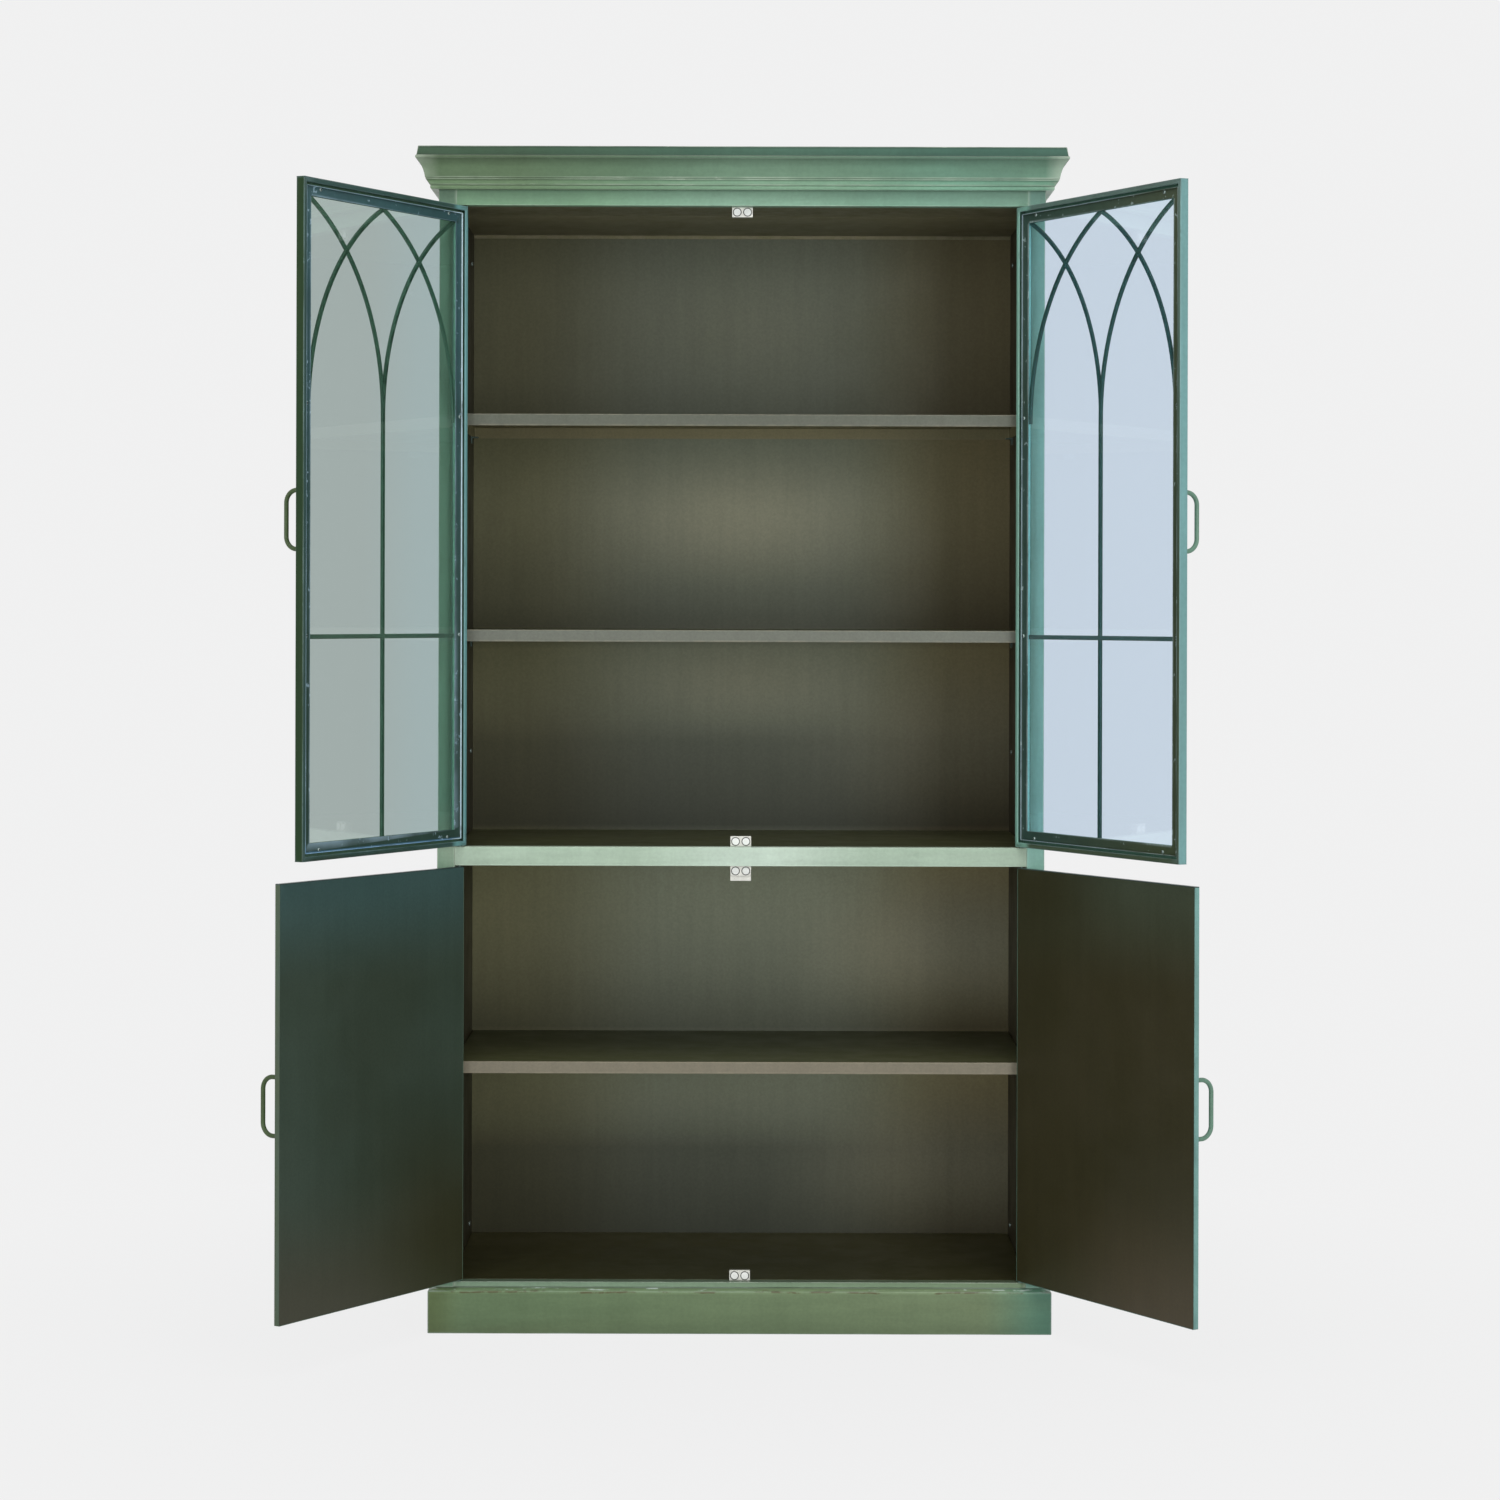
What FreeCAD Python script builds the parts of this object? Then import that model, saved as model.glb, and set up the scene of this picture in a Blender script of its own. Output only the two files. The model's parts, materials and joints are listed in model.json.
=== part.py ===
import FreeCAD, Part
import math
import os
import Sketcher
from FreeCAD import Placement, Rotation, Vector

# A tall two-part display cupboard in painted sheet metal: a cornice, two glazed doors with
# interlacing arches over three bays, two plain doors over two bays, and a low plinth.
# X runs to the right, Y to the back, Z up. The origin is on the floor, mid-width, in the
# front plane of the face frame. The doors stand open; closed, they lie flush in the frame.

SIZES = {
    # carcass
    "frame_width": 1026.0,
    "carcass_depth": 484.0,
    "stile_width": 30.0,
    "stile_depth": 24.0,
    "wall_depth": 24.0,
    "sheet": 1.2,
    "bottom_rail_height": 9.0,
    "lower_opening_height": 702.5,
    "mid_rail_height": 32.0,
    "upper_opening_height": 1083.5,
    "frieze_height": 26.0,
    "panel_lip": 20.0,
    # plinth
    "plinth_height": 76.5,
    "plinth_projection": 13.0,
    "plinth_bevel": 5.0,
    "plinth_foot": 25.0,
    "plinth_ledge": 30.0,
    # cornice, from the frieze up
    "astragal_projection": 12.0,
    "astragal_height": 7.0,
    "astragal_radius": 5.0,
    "band_projection": 19.5,
    "band_height": 8.5,
    "fillet_height": 3.0,
    "cove_set_off": 2.0,
    "cove_height": 31.0,
    "cove_radius": 60.0,
    "nose_height": 5.0,
    "nose_radius": 4.0,
    "cornice_projection": 36.0,
    "crown_height": 16.0,
    "crown_projection": 32.5,
    "cornice_return": 20.0,
    # shelves
    "shelf_pitch": 366.5,
    "shelf_lip": 20.0,
    "shelf_clearance": 1.0,
    "shelf_set_back": 2.0,
    "bracket_length": 25.0,
    "bracket_leg": 12.0,
    "bracket_thickness": 2.0,
    "bracket_set_in": 40.0,
    # doors
    "hinge_gap": 4.0,
    "meeting_gap": 3.0,
    "door_end_gap": 2.0,
    "pivot_inset": 4.0,
    "upper_door_depth": 15.5,
    "lower_door_depth": 10.0,
    "door_flange": 28.0,
    "door_lip": 8.0,
    "door_hem": 2.4,
    "glass_thickness": 3.0,
    "glass_inset": 18.0,
    "bar_width": 7.5,
    "bar_depth": 5.0,
    "bead_inset": 12.0,
    "bead_height": 4.5,
    "bead_sheet": 1.2,
    "gasket_width": 14.0,
    # pivots
    "pin_radius": 2.0,
    "pin_fit": 0.05,
    "pin_reach": 8.0,
    "washer_radius": 4.5,
    "washer_clearance": 0.3,
    # handles
    "handle_centres": 93.5,
    "handle_wire_radius": 3.75,
    "handle_reach": 34.25,
    "handle_bend": 20.0,
    "handle_foot_length": 20.0,
    "handle_foot_width": 13.0,
    "handle_foot_thickness": 3.0,
    "handle_foot_rounding": 7.0,
    "upper_handle_inset": 24.0,
    "lower_handle_inset": 13.0,
    "lower_handle_drop": 4.75,
    # catches and screws
    "catch_width": 35.0,
    "catch_height": 17.5,
    "catch_depth": 12.0,
    "catch_tail": 9.0,
    "magnet_radius": 6.0,
    "magnet_spacing": 17.5,
    "magnet_depth": 5.0,
    "magnet_stand": 1.0,
    "magnet_gap": 0.5,
    "screw_radius": 4.0,
    "screw_height": 2.0,
    "screw_set_in": 60.0,
    "bead_screw_radius": 2.9,
    "bead_screw_height": 2.0,
    "bead_screw_inset": 16.4,
    # one overrun for every cut
    "overrun": 5.0,
}

# How far each door stands open, in degrees from closed.
UPPER_DOOR_ANGLE = 118.2
LOWER_LEFT_ANGLE = 122.9
LOWER_RIGHT_ANGLE = 121.3

doc = FreeCAD.newDocument("cupboard")
sheet_object = doc.addObject("Spreadsheet::Sheet", "Sizes")
for row, (alias, value) in enumerate(SIZES.items(), 1):
    sheet_object.set(f"A{row}", alias)
    sheet_object.set(f"B{row}", str(value))
    sheet_object.setAlias(f"B{row}", alias)
doc.recompute()


class Size:
    """A length worked out from the sheet, with the expression that works it out."""

    def __init__(self, text, value):
        self.text = text
        self.value = value

    def _with(self, other, sign, work):
        other = as_size(other)
        return Size(f"({self.text} {sign} {other.text})", work(self.value, other.value))

    def __add__(self, other):
        return self._with(other, "+", lambda a, b: a + b)

    def __radd__(self, other):
        return as_size(other) + self

    def __sub__(self, other):
        return self._with(other, "-", lambda a, b: a - b)

    def __rsub__(self, other):
        return as_size(other) - self

    def __mul__(self, other):
        return self._with(other, "*", lambda a, b: a * b)

    def __rmul__(self, other):
        return as_size(other) * self

    def __truediv__(self, other):
        return self._with(other, "/", lambda a, b: a / b)

    def __neg__(self):
        return Size(f"(-{self.text})", -self.value)


def as_size(number):
    """Return a plain count, sign or share as a Size."""
    return number if isinstance(number, Size) else Size(repr(number), float(number))


class Sheet:
    """The named sizes of the sheet, read as attributes."""

    def __getattr__(self, alias):
        return Size(f"Sizes.{alias}", float(sheet_object.get(alias)))


s = Sheet()

# Places that follow from the sizes
half_frame = s.frame_width / 2
half_opening = half_frame - s.stile_width
half_inside = half_frame - s.wall_depth
inside_depth = s.carcass_depth - 2 * s.sheet
bottom_rail_base = s.plinth_height
floor_level = bottom_rail_base + s.bottom_rail_height
mid_rail_base = floor_level + s.lower_opening_height
deck_level = mid_rail_base + s.mid_rail_height
ceiling_level = deck_level + s.upper_opening_height
cornice_base = ceiling_level + s.frieze_height
cornice_height = (s.astragal_height + s.band_height + s.fillet_height + s.cove_height
                  + s.nose_height + s.crown_height)
total_height = cornice_base + cornice_height
frame_top = total_height - s.sheet
crown_inside = s.crown_projection - s.cornice_return

door_width = half_opening - s.hinge_gap - s.meeting_gap / 2
pivot_offset = half_opening - s.hinge_gap - s.pivot_inset
upper_door_base = deck_level + s.door_end_gap
upper_door_top = ceiling_level - s.door_end_gap
lower_door_base = floor_level + s.door_end_gap
lower_door_top = mid_rail_base - s.door_end_gap

SHELVES = {
    "upper": deck_level + 2 * s.shelf_pitch,
    "middle": deck_level + s.shelf_pitch,
    "lower": lower_door_base + s.shelf_pitch,
}

parts = []


def keep(piece):
    """Count a finished object as one sub-part of the cupboard."""
    parts.append(piece)
    return piece


def bind(feature, prop, size):
    """Tie a property of a feature to the sheet."""
    feature.setExpression(prop, as_size(size).text)


# Sketches and features

def new_body(label, several=False):
    """Return a body of one solid, or of several where a node is a set of like solids."""
    body = doc.addObject("PartDesign::Body", label)
    body.Label = label
    if several:
        body.AllowCompound = True
    return body


def new_sketch(body, role, offset=0):
    """Return a sketch on one of the body's own origin planes, moved along its normal."""
    sketch = body.newObject("Sketcher::SketchObject", f"{body.Label}_sketch")
    plane = next(f for f in body.Origin.OriginFeatures if f.Role == role)
    sketch.AttachmentSupport = (plane, [""])
    sketch.MapMode = "FlatFace"
    if isinstance(offset, Size):
        bind(sketch, "AttachmentOffset.Base.z", offset)
    return sketch


def fix(sketch, geometry, point, x, y):
    """Hold one point of a sketch at a place worked out from the sheet."""
    for kind, axis, size in (("DistanceX", -2, x), ("DistanceY", -1, y)):
        if not isinstance(size, Size):
            sketch.addConstraint(Sketcher.Constraint("PointOnObject", geometry, point, axis))
            continue
        forward = size.value >= 0
        ends = (-1, 1, geometry, point) if forward else (geometry, point, -1, 1)
        length = size if forward else -size
        index = sketch.addConstraint(Sketcher.Constraint(kind, *ends, length.value))
        bind(sketch, f"Constraints[{index}]", length)


def flat(point):
    """Return a sketch point as a vector of plain numbers."""
    return Vector(as_size(point[0]).value, as_size(point[1]).value, 0)


def arc_between(start, end, radius, turn):
    """Return the short arc from start to end; turn is 1 for left-handed, -1 for right."""
    chord = end - start
    rise = math.sqrt(max(radius ** 2 - (chord.Length / 2) ** 2, 0))
    normal = Vector(-chord.y, chord.x, 0).normalize()
    centre = (start + end) * 0.5 + normal * rise * turn
    first, last = (start, end) if turn > 0 else (end, start)
    angle = [math.atan2(p.y - centre.y, p.x - centre.x) for p in (first, last)]
    if angle[1] <= angle[0]:
        angle[1] += 2 * math.pi
    return Part.ArcOfCircle(Part.Circle(centre, Vector(0, 0, 1), radius), *angle)


def outline(sketch, points):
    """Draw a closed outline; a point with a radius and a turn starts an arc."""
    ends = []
    for here, there in zip(points, points[1:] + points[:1]):
        if len(here) == 2:
            index = sketch.addGeometry(Part.LineSegment(flat(here), flat(there)))
            ends.append((index, 1, 2))
            continue
        radius, turn = here[2], here[3]
        index = sketch.addGeometry(arc_between(flat(here), flat(there), radius.value, turn))
        ends.append((index, 1, 2) if turn > 0 else (index, 2, 1))
    for (index, _, last), (following, first, _) in zip(ends, ends[1:] + ends[:1]):
        sketch.addConstraint(Sketcher.Constraint("Coincident", index, last, following, first))
    for here, (index, first, _) in zip(points, ends):
        fix(sketch, index, first, here[0], here[1])
        if len(here) == 4:
            radius = sketch.addConstraint(Sketcher.Constraint("Radius", index, here[2].value))
            bind(sketch, f"Constraints[{radius}]", here[2])


def rectangle(sketch, x0, y0, x1, y1):
    """Draw a closed rectangle between two corners."""
    outline(sketch, [(x0, y0), (x1, y0), (x1, y1), (x0, y1)])


def circle(sketch, x, y, radius):
    """Draw a circle about a point."""
    centre = flat((x, y))
    index = sketch.addGeometry(Part.Circle(centre, Vector(0, 0, 1), radius.value))
    fix(sketch, index, 3, x, y)
    held = sketch.addConstraint(Sketcher.Constraint("Radius", index, radius.value))
    bind(sketch, f"Constraints[{held}]", radius)


def pad(body, sketch, length, backwards=False, both_ways=False):
    """Add the sketched outline to the body; both_ways centres the length on the sketch."""
    feature = body.newObject("PartDesign::Pad", f"{body.Label}_pad")
    feature.Profile = sketch
    bind(feature, "Length", length)
    feature.Reversed = backwards
    feature.Midplane = both_ways
    return feature


def pocket(body, sketch, length, backwards=False, both_ways=False):
    """Cut the sketched outline out of the body."""
    feature = body.newObject("PartDesign::Pocket", f"{body.Label}_pocket")
    feature.Profile = sketch
    bind(feature, "Length", length)
    feature.Reversed = backwards
    feature.Midplane = both_ways
    return feature


def box(label, low, high):
    """Return a block between two corners."""
    block = doc.addObject("Part::Box", label)
    block.Label = label
    for side, start, end in zip(("Length", "Width", "Height"), low, high):
        bind(block, side, end - as_size(start))
    for axis, start in zip("xyz", low):
        bind(block, f"Placement.Base.{axis}", start)
    return block


def pan(label, low, high, opens_up=False):
    """Return a sheet with four lips, open below unless it opens upwards."""
    wall = s.sheet
    inner_low = [start + wall for start in low[:2]]
    inner_high = [end - wall for end in high[:2]]
    base = low[2] + wall if opens_up else low[2] - s.overrun
    top = high[2] + s.overrun if opens_up else high[2] - wall
    cut = doc.addObject("Part::Cut", label)
    cut.Label = label
    cut.Base = box(f"{label}_blank", low, high)
    cut.Tool = box(f"{label}_hollow", inner_low + [base], inner_high + [top])
    return keep(cut)


# Carcass

def make_tube(label, role, low, high, start, length, wall):
    """Return a rectangular tube that runs along the normal of an origin plane."""
    body = new_body(label)
    sketch = new_sketch(body, role, start)
    rectangle(sketch, low[0], low[1], high[0], high[1])
    rectangle(sketch, low[0] + wall, low[1] + wall, high[0] - wall, high[1] - wall)
    pad(body, sketch, length)
    return keep(body)


def make_face_frame():
    """Two stiles from the plinth to the top, with three rails between them."""
    for name, side in (("left", -1), ("right", 1)):
        edges = sorted((side * half_frame, side * half_opening), key=lambda size: size.value)
        make_tube(f"stile_{name}", "XY_Plane", (edges[0], as_size(0)), (edges[1], s.stile_depth),
                  bottom_rail_base, frame_top - bottom_rail_base, s.sheet)
    rails = (("bottom_rail", bottom_rail_base, floor_level),
             ("mid_rail", mid_rail_base, deck_level),
             ("frieze_rail", ceiling_level, frame_top))
    for label, base, top in rails:
        make_tube(label, "YZ_Plane", (as_size(0), base), (s.stile_depth, top),
                  -half_opening, 2 * half_opening, s.sheet)


def make_walls():
    """Double side walls, the back, the top and the four fixed level panels."""
    for name, side in (("left", -1), ("right", 1)):
        body = new_body(f"side_panel_{name}")
        sketch = new_sketch(body, "XY_Plane", bottom_rail_base)
        outside = side * half_frame
        skin = side * (half_frame - s.sheet)
        inside = side * half_inside
        fold = s.carcass_depth - s.sheet
        outline(sketch, [(outside, s.stile_depth), (skin, s.stile_depth), (skin, fold),
                         (inside, fold), (inside, s.carcass_depth), (outside, s.carcass_depth)])
        pad(body, sketch, frame_top - bottom_rail_base)
        keep(body)
        walls = sorted((inside, side * (half_inside + s.sheet)), key=lambda size: size.value)
        keep(box(f"side_liner_{name}", (walls[0], s.stile_depth, bottom_rail_base),
                 (walls[1], inside_depth, frame_top)))
    skin = half_frame - s.sheet
    keep(box("back_panel", (-skin, inside_depth, bottom_rail_base),
             (skin, inside_depth + s.sheet, frame_top)))
    keep(box("top_panel", (-half_frame - crown_inside, -crown_inside, frame_top),
             (half_frame + crown_inside, s.carcass_depth, total_height)))
    front = s.stile_depth
    pan("floor_panel", (-half_inside, front, bottom_rail_base),
        (half_inside, inside_depth, floor_level))
    keep(box("lower_ceiling", (-half_inside, front, mid_rail_base),
             (half_inside, inside_depth, mid_rail_base + s.sheet)))
    pan("centre_deck", (-half_inside, front, mid_rail_base + s.sheet),
        (half_inside, inside_depth, deck_level))
    pan("ceiling_panel", (-half_inside, front, ceiling_level),
        (half_inside, inside_depth, ceiling_level + s.panel_lip), opens_up=True)


def make_moulding(name, profile, reach, depth_in):
    """Return a moulding that runs round the front and both sides, mitred at the corners."""
    corner = [half_frame + reach, -reach]
    front = new_body(f"{name}_front")
    sketch = new_sketch(front, "YZ_Plane")
    outline(sketch, [(-point[0], point[1]) + tuple(mirrored(point[2:])) for point in profile])
    pad(front, sketch, 2 * corner[0], both_ways=True)
    for side in (-1, 1):
        cut = new_sketch(front, "XY_Plane")
        outer = side * (corner[0] + s.overrun)
        outline(cut, [(side * (half_frame - depth_in), depth_in),
                      (outer, corner[1] - s.overrun), (outer, depth_in)])
        pocket(front, cut, 2 * (total_height + s.overrun), both_ways=True)
    keep(front)
    for label, side in (("left", -1), ("right", 1)):
        body = new_body(f"{name}_{label}")
        sketch = new_sketch(body, "XZ_Plane", as_size(reach))
        turned = [(side * (half_frame + point[0]), point[1])
                  + tuple(point[2:] if side > 0 else mirrored(point[2:])) for point in profile]
        outline(sketch, turned)
        pad(body, sketch, s.carcass_depth + reach, backwards=True)
        cut = new_sketch(body, "XY_Plane")
        inner = side * (half_frame - depth_in - s.overrun)
        outline(cut, [(side * (corner[0] + s.overrun), corner[1] - s.overrun),
                      (inner, depth_in + s.overrun), (inner, corner[1] - s.overrun)])
        pocket(body, cut, 2 * (total_height + s.overrun), both_ways=True)
        keep(body)


def mirrored(arc):
    """Return an arc's radius and turn for an outline that is mirrored."""
    return (arc[0], -arc[1]) if arc else ()


def make_plinth():
    """A folded sheet plinth with a bevelled shoulder, a ledge inside and a turned-in foot."""
    shoulder = s.plinth_height - s.plinth_bevel
    face = s.plinth_projection
    profile = [(-s.plinth_ledge, s.plinth_height), (as_size(0), s.plinth_height),
               (face, shoulder), (face, as_size(0)),
               (face - s.plinth_foot, as_size(0)), (face - s.plinth_foot, s.sheet),
               (face - s.sheet, s.sheet), (face - s.sheet, shoulder - s.sheet),
               (as_size(0), s.plinth_height - s.sheet),
               (-s.plinth_ledge, s.plinth_height - s.sheet)]
    make_moulding("plinth", profile, face, s.plinth_ledge)
    body = new_body("plinth_back")
    back = s.carcass_depth
    under = s.plinth_height - s.sheet
    wide, narrow = half_frame + face - s.sheet, half_frame - s.sheet
    wall = new_sketch(body, "XZ_Plane", -back)
    outline(wall, [(-wide, s.sheet), (wide, s.sheet), (wide, shoulder - s.sheet),
                   (narrow, under), (-narrow, under), (-wide, shoulder - s.sheet)])
    pad(body, wall, s.sheet)
    for ends, width, base in ((half_frame - s.plinth_ledge, s.plinth_ledge, under),
                              (wide + s.sheet - s.plinth_foot, s.plinth_foot, as_size(0))):
        fold = new_sketch(body, "XZ_Plane", -back)
        rectangle(fold, -ends, base, ends, base + s.sheet)
        pad(body, fold, width)
    keep(body)


def make_cornice():
    """A sheet cornice: astragal, bevelled band, fillet, cove, nose and leaning crown."""
    wall = s.sheet
    band_base = cornice_base + s.astragal_height
    fillet_base = band_base + s.band_height
    cove_base = fillet_base + s.fillet_height
    nose_base = cove_base + s.cove_height
    crown_base = nose_base + s.nose_height
    cove_start = s.band_projection + s.cove_set_off
    fillet_face = s.band_projection + s.cove_set_off / 2
    astragal_face = s.astragal_projection
    band_start = s.astragal_projection + s.cove_set_off
    nose_face = s.cornice_projection
    profile = [
        (as_size(0), cornice_base),
        (astragal_face, cornice_base, s.astragal_radius, 1),
        (astragal_face, band_base),
        (band_start, band_base),
        (s.band_projection, fillet_base),
        (fillet_face, fillet_base),
        (fillet_face, cove_base),
        (cove_start, cove_base, s.cove_radius, -1),
        (nose_face - wall, nose_base),
        (nose_face, nose_base, s.nose_radius, 1),
        (nose_face, crown_base),
        (nose_face - wall, crown_base),
        (s.crown_projection, total_height),
        (crown_inside, total_height),
        (crown_inside, frame_top),
        (s.crown_projection - wall, frame_top),
        (nose_face - 2 * wall, crown_base),
        (nose_face - 2 * wall, nose_base + wall, s.cove_radius, 1),
        (cove_start - wall, cove_base + wall),
        (band_start - wall, band_base + wall),
        (astragal_face - wall, band_base + wall),
        (astragal_face - wall, cornice_base + wall),
        (as_size(0), cornice_base + wall),
    ]
    make_moulding("cornice", profile, nose_face + s.overrun, as_size(0))


# Shelves and their fittings

def make_shelves():
    """Three lipped shelves on angle brackets, and the screws that hold the liners."""
    front = s.stile_depth + s.shelf_set_back
    back = inside_depth - s.shelf_clearance
    edge = half_inside - s.shelf_clearance
    for name, level in SHELVES.items():
        pan(f"shelf_{name}", (-edge, front, level - s.shelf_lip), (edge, back, level))
    brackets = new_body("shelf_brackets", several=True)
    for level in SHELVES.values():
        seat = level - s.shelf_lip
        for side in (-1, 1):
            wall = side * half_inside
            leg = side * (half_inside - s.bracket_thickness)
            toe = side * (half_inside - s.bracket_leg)
            foot = seat - s.bracket_thickness
            for place in (front + s.bracket_set_in, back - s.bracket_set_in - s.bracket_length):
                sketch = new_sketch(brackets, "XZ_Plane", -place)
                outline(sketch, [(wall, seat), (toe, seat), (toe, foot), (leg, foot),
                                 (leg, seat - s.bracket_leg), (wall, seat - s.bracket_leg)])
                pad(brackets, sketch, s.bracket_length, backwards=True)
    keep(brackets)


def make_button_head(body, role, x, y, seat, radius, height, turned=False):
    """Add a low round screw head that stands on a plane."""
    sketch = new_sketch(body, role, seat)
    circle(sketch, x, y, radius)
    feature = pad(body, sketch, height, backwards=turned)
    feature.TaperAngle = HEAD_TAPER


HEAD_TAPER = -30.0
LINER_SCREW_SHARES = (0.014, 0.484, 0.968)


def make_liner_screws():
    """Round heads that hold each liner, near its front and back edges."""
    screws = new_body("liner_screws", several=True)
    for side in (-1, 1):
        for share in LINER_SCREW_SHARES:
            height = floor_level + share * (ceiling_level - floor_level)
            for place in (s.stile_depth + s.screw_set_in / 2, inside_depth - s.screw_set_in):
                make_button_head(screws, "YZ_Plane", place, height, side * half_inside,
                                 s.screw_radius, s.screw_height, turned=side > 0)
    keep(screws)


def make_catches():
    """Four double magnetic catches at mid-width, each under or on a rail."""
    upper_face = s.upper_door_depth + s.magnet_gap
    lower_face = s.lower_door_depth + s.magnet_gap
    places = (("top", ceiling_level, -1, upper_face), ("deck", deck_level, 1, upper_face),
              ("rail", mid_rail_base, -1, lower_face), ("floor", floor_level, 1, lower_face))
    magnets = new_body("catch_magnets", several=True)
    half = s.catch_width / 2
    for name, seat, way, face in places:
        body = new_body(f"catch_{name}")
        case_face = face + s.magnet_stand
        centre = seat + way * s.catch_height / 2
        sketch = new_sketch(body, "XZ_Plane", -case_face)
        rectangle(sketch, -half, seat, half, seat + way * s.catch_height)
        pad(body, sketch, s.catch_depth, backwards=True)
        if name == "rail":
            tail = new_sketch(body, "XZ_Plane", -(case_face + s.catch_depth - s.bracket_thickness))
            rectangle(tail, -half, seat, half, seat - s.catch_height - s.catch_tail)
            pad(body, tail, s.bracket_thickness, backwards=True)
        bores = new_sketch(body, "XZ_Plane", -case_face)
        for side in (-1, 1):
            circle(bores, side * s.magnet_spacing / 2, centre, s.magnet_radius)
        pocket(body, bores, s.magnet_depth - s.magnet_stand)
        keep(body)
        discs = new_sketch(magnets, "XZ_Plane", -face)
        for side in (-1, 1):
            circle(discs, side * s.magnet_spacing / 2, centre, s.magnet_radius)
        pad(magnets, discs, s.magnet_depth, backwards=True)
    keep(magnets)


def make_pivots():
    """Pins that stand out of the rails into the doors, with a washer under each door."""
    pins = new_body("pivot_pins", several=True)
    washers = new_body("pivot_washers", several=True)
    reach = s.door_end_gap + s.pin_reach
    spans = ((ceiling_level - reach, None), (deck_level, deck_level),
             (mid_rail_base - reach, None), (floor_level, floor_level))
    for base, seat in spans:
        for side in (-1, 1):
            sketch = new_sketch(pins, "XY_Plane", base)
            circle(sketch, side * pivot_offset, s.pivot_inset, s.pin_radius)
            pad(pins, sketch, reach)
            if seat is None:
                continue
            ring = new_sketch(washers, "XY_Plane", seat)
            circle(ring, side * pivot_offset, s.pivot_inset, s.washer_radius)
            circle(ring, side * pivot_offset, s.pivot_inset, s.pin_radius + s.pin_fit)
            pad(washers, ring, s.door_end_gap - s.washer_clearance)
    keep(pins)
    keep(washers)


# Doors, drawn closed about their pivot and then turned open

def stand(body, side, angle, corner=(0, 0, 0), turn=0):
    """Turn a piece of a door open about the door's pivot; corner is its own origin."""
    swing = Rotation(Vector(0, 0, 1), side * angle)
    body.Placement = Placement(Vector(), swing * Rotation(Vector(0, 1, 0), turn))
    cosine = math.cos(math.radians(side * angle))
    sine = math.sin(math.radians(side * angle))
    x, y, z = corner
    bind(body, "Placement.Base.x", side * pivot_offset + x * cosine - y * sine)
    bind(body, "Placement.Base.y", s.pivot_inset + x * sine + y * cosine)
    bind(body, "Placement.Base.z", z)


def door_edges(side):
    """Return the left and right edges of a closed door, counted from its pivot."""
    meeting = -side * (door_width - s.pivot_inset)
    hinge = side * s.pivot_inset
    return (hinge, meeting) if side < 0 else (meeting, hinge)


def make_channel(label, length, hole):
    """Return a folded door member, mitred at both ends, with its web at X 0."""
    body = new_body(label)
    wall = s.sheet
    depth = s.upper_door_depth
    sketch = new_sketch(body, "XY_Plane")
    outline(sketch, [(as_size(0), as_size(0)), (s.door_flange, as_size(0)),
                     (s.door_flange, wall), (wall, wall), (wall, depth - wall),
                     (s.door_lip - wall, depth - wall), (s.door_lip - wall, depth - s.door_hem),
                     (s.door_lip, depth - s.door_hem), (s.door_lip, depth),
                     (as_size(0), depth)])
    pad(body, sketch, length)
    reach = s.door_flange + s.overrun
    for end, way in ((as_size(0), 1), (length, -1)):
        cut = new_sketch(body, "XZ_Plane")
        outer = end - way * s.overrun
        outline(cut, [(-s.overrun, outer), (reach, outer), (reach, end + way * reach)])
        pocket(body, cut, 2 * (depth + s.overrun), both_ways=True)
    if hole is not None:
        bore = new_sketch(body, "YZ_Plane")
        circle(bore, s.pivot_inset, hole, s.pin_radius + s.pin_fit)
        pocket(body, bore, 2 * (wall + s.overrun), both_ways=True)
    return keep(body)


def make_upper_frame(name, side, angle):
    """Two stiles and two rails, mitred, with pivot holes in the rails."""
    left, right = door_edges(side)
    front = -s.pivot_inset
    base, top = upper_door_base, upper_door_top
    stiles = ("hinge", "meeting") if side < 0 else ("meeting", "hinge")
    members = (
        (f"door_{stiles[0]}_stile_{name}", top - base, None, 0, (left, front, base)),
        (f"door_{stiles[1]}_stile_{name}", top - base, None, 180, (right, front, top)),
        (f"door_top_rail_{name}", door_width, -left, 90, (left, front, top)),
        (f"door_bottom_rail_{name}", door_width, right, -90, (right, front, base)),
    )
    for label, length, hole, turn, start in members:
        stand(make_channel(label, length, hole), side, angle, start, turn)


def add_ring(body, side, inset, width, start, depth):
    """Add a flat rectangular ring, set in from the door's edges."""
    left, right = door_edges(side)
    sketch = new_sketch(body, "XZ_Plane", -start)
    outer = (left + inset, upper_door_base + inset, right - inset, upper_door_top - inset)
    inner = (outer[0] + width, outer[1] + width, outer[2] - width, outer[3] - width)
    rectangle(sketch, *outer)
    rectangle(sketch, *inner)
    pad(body, sketch, depth, backwards=True)


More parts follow.
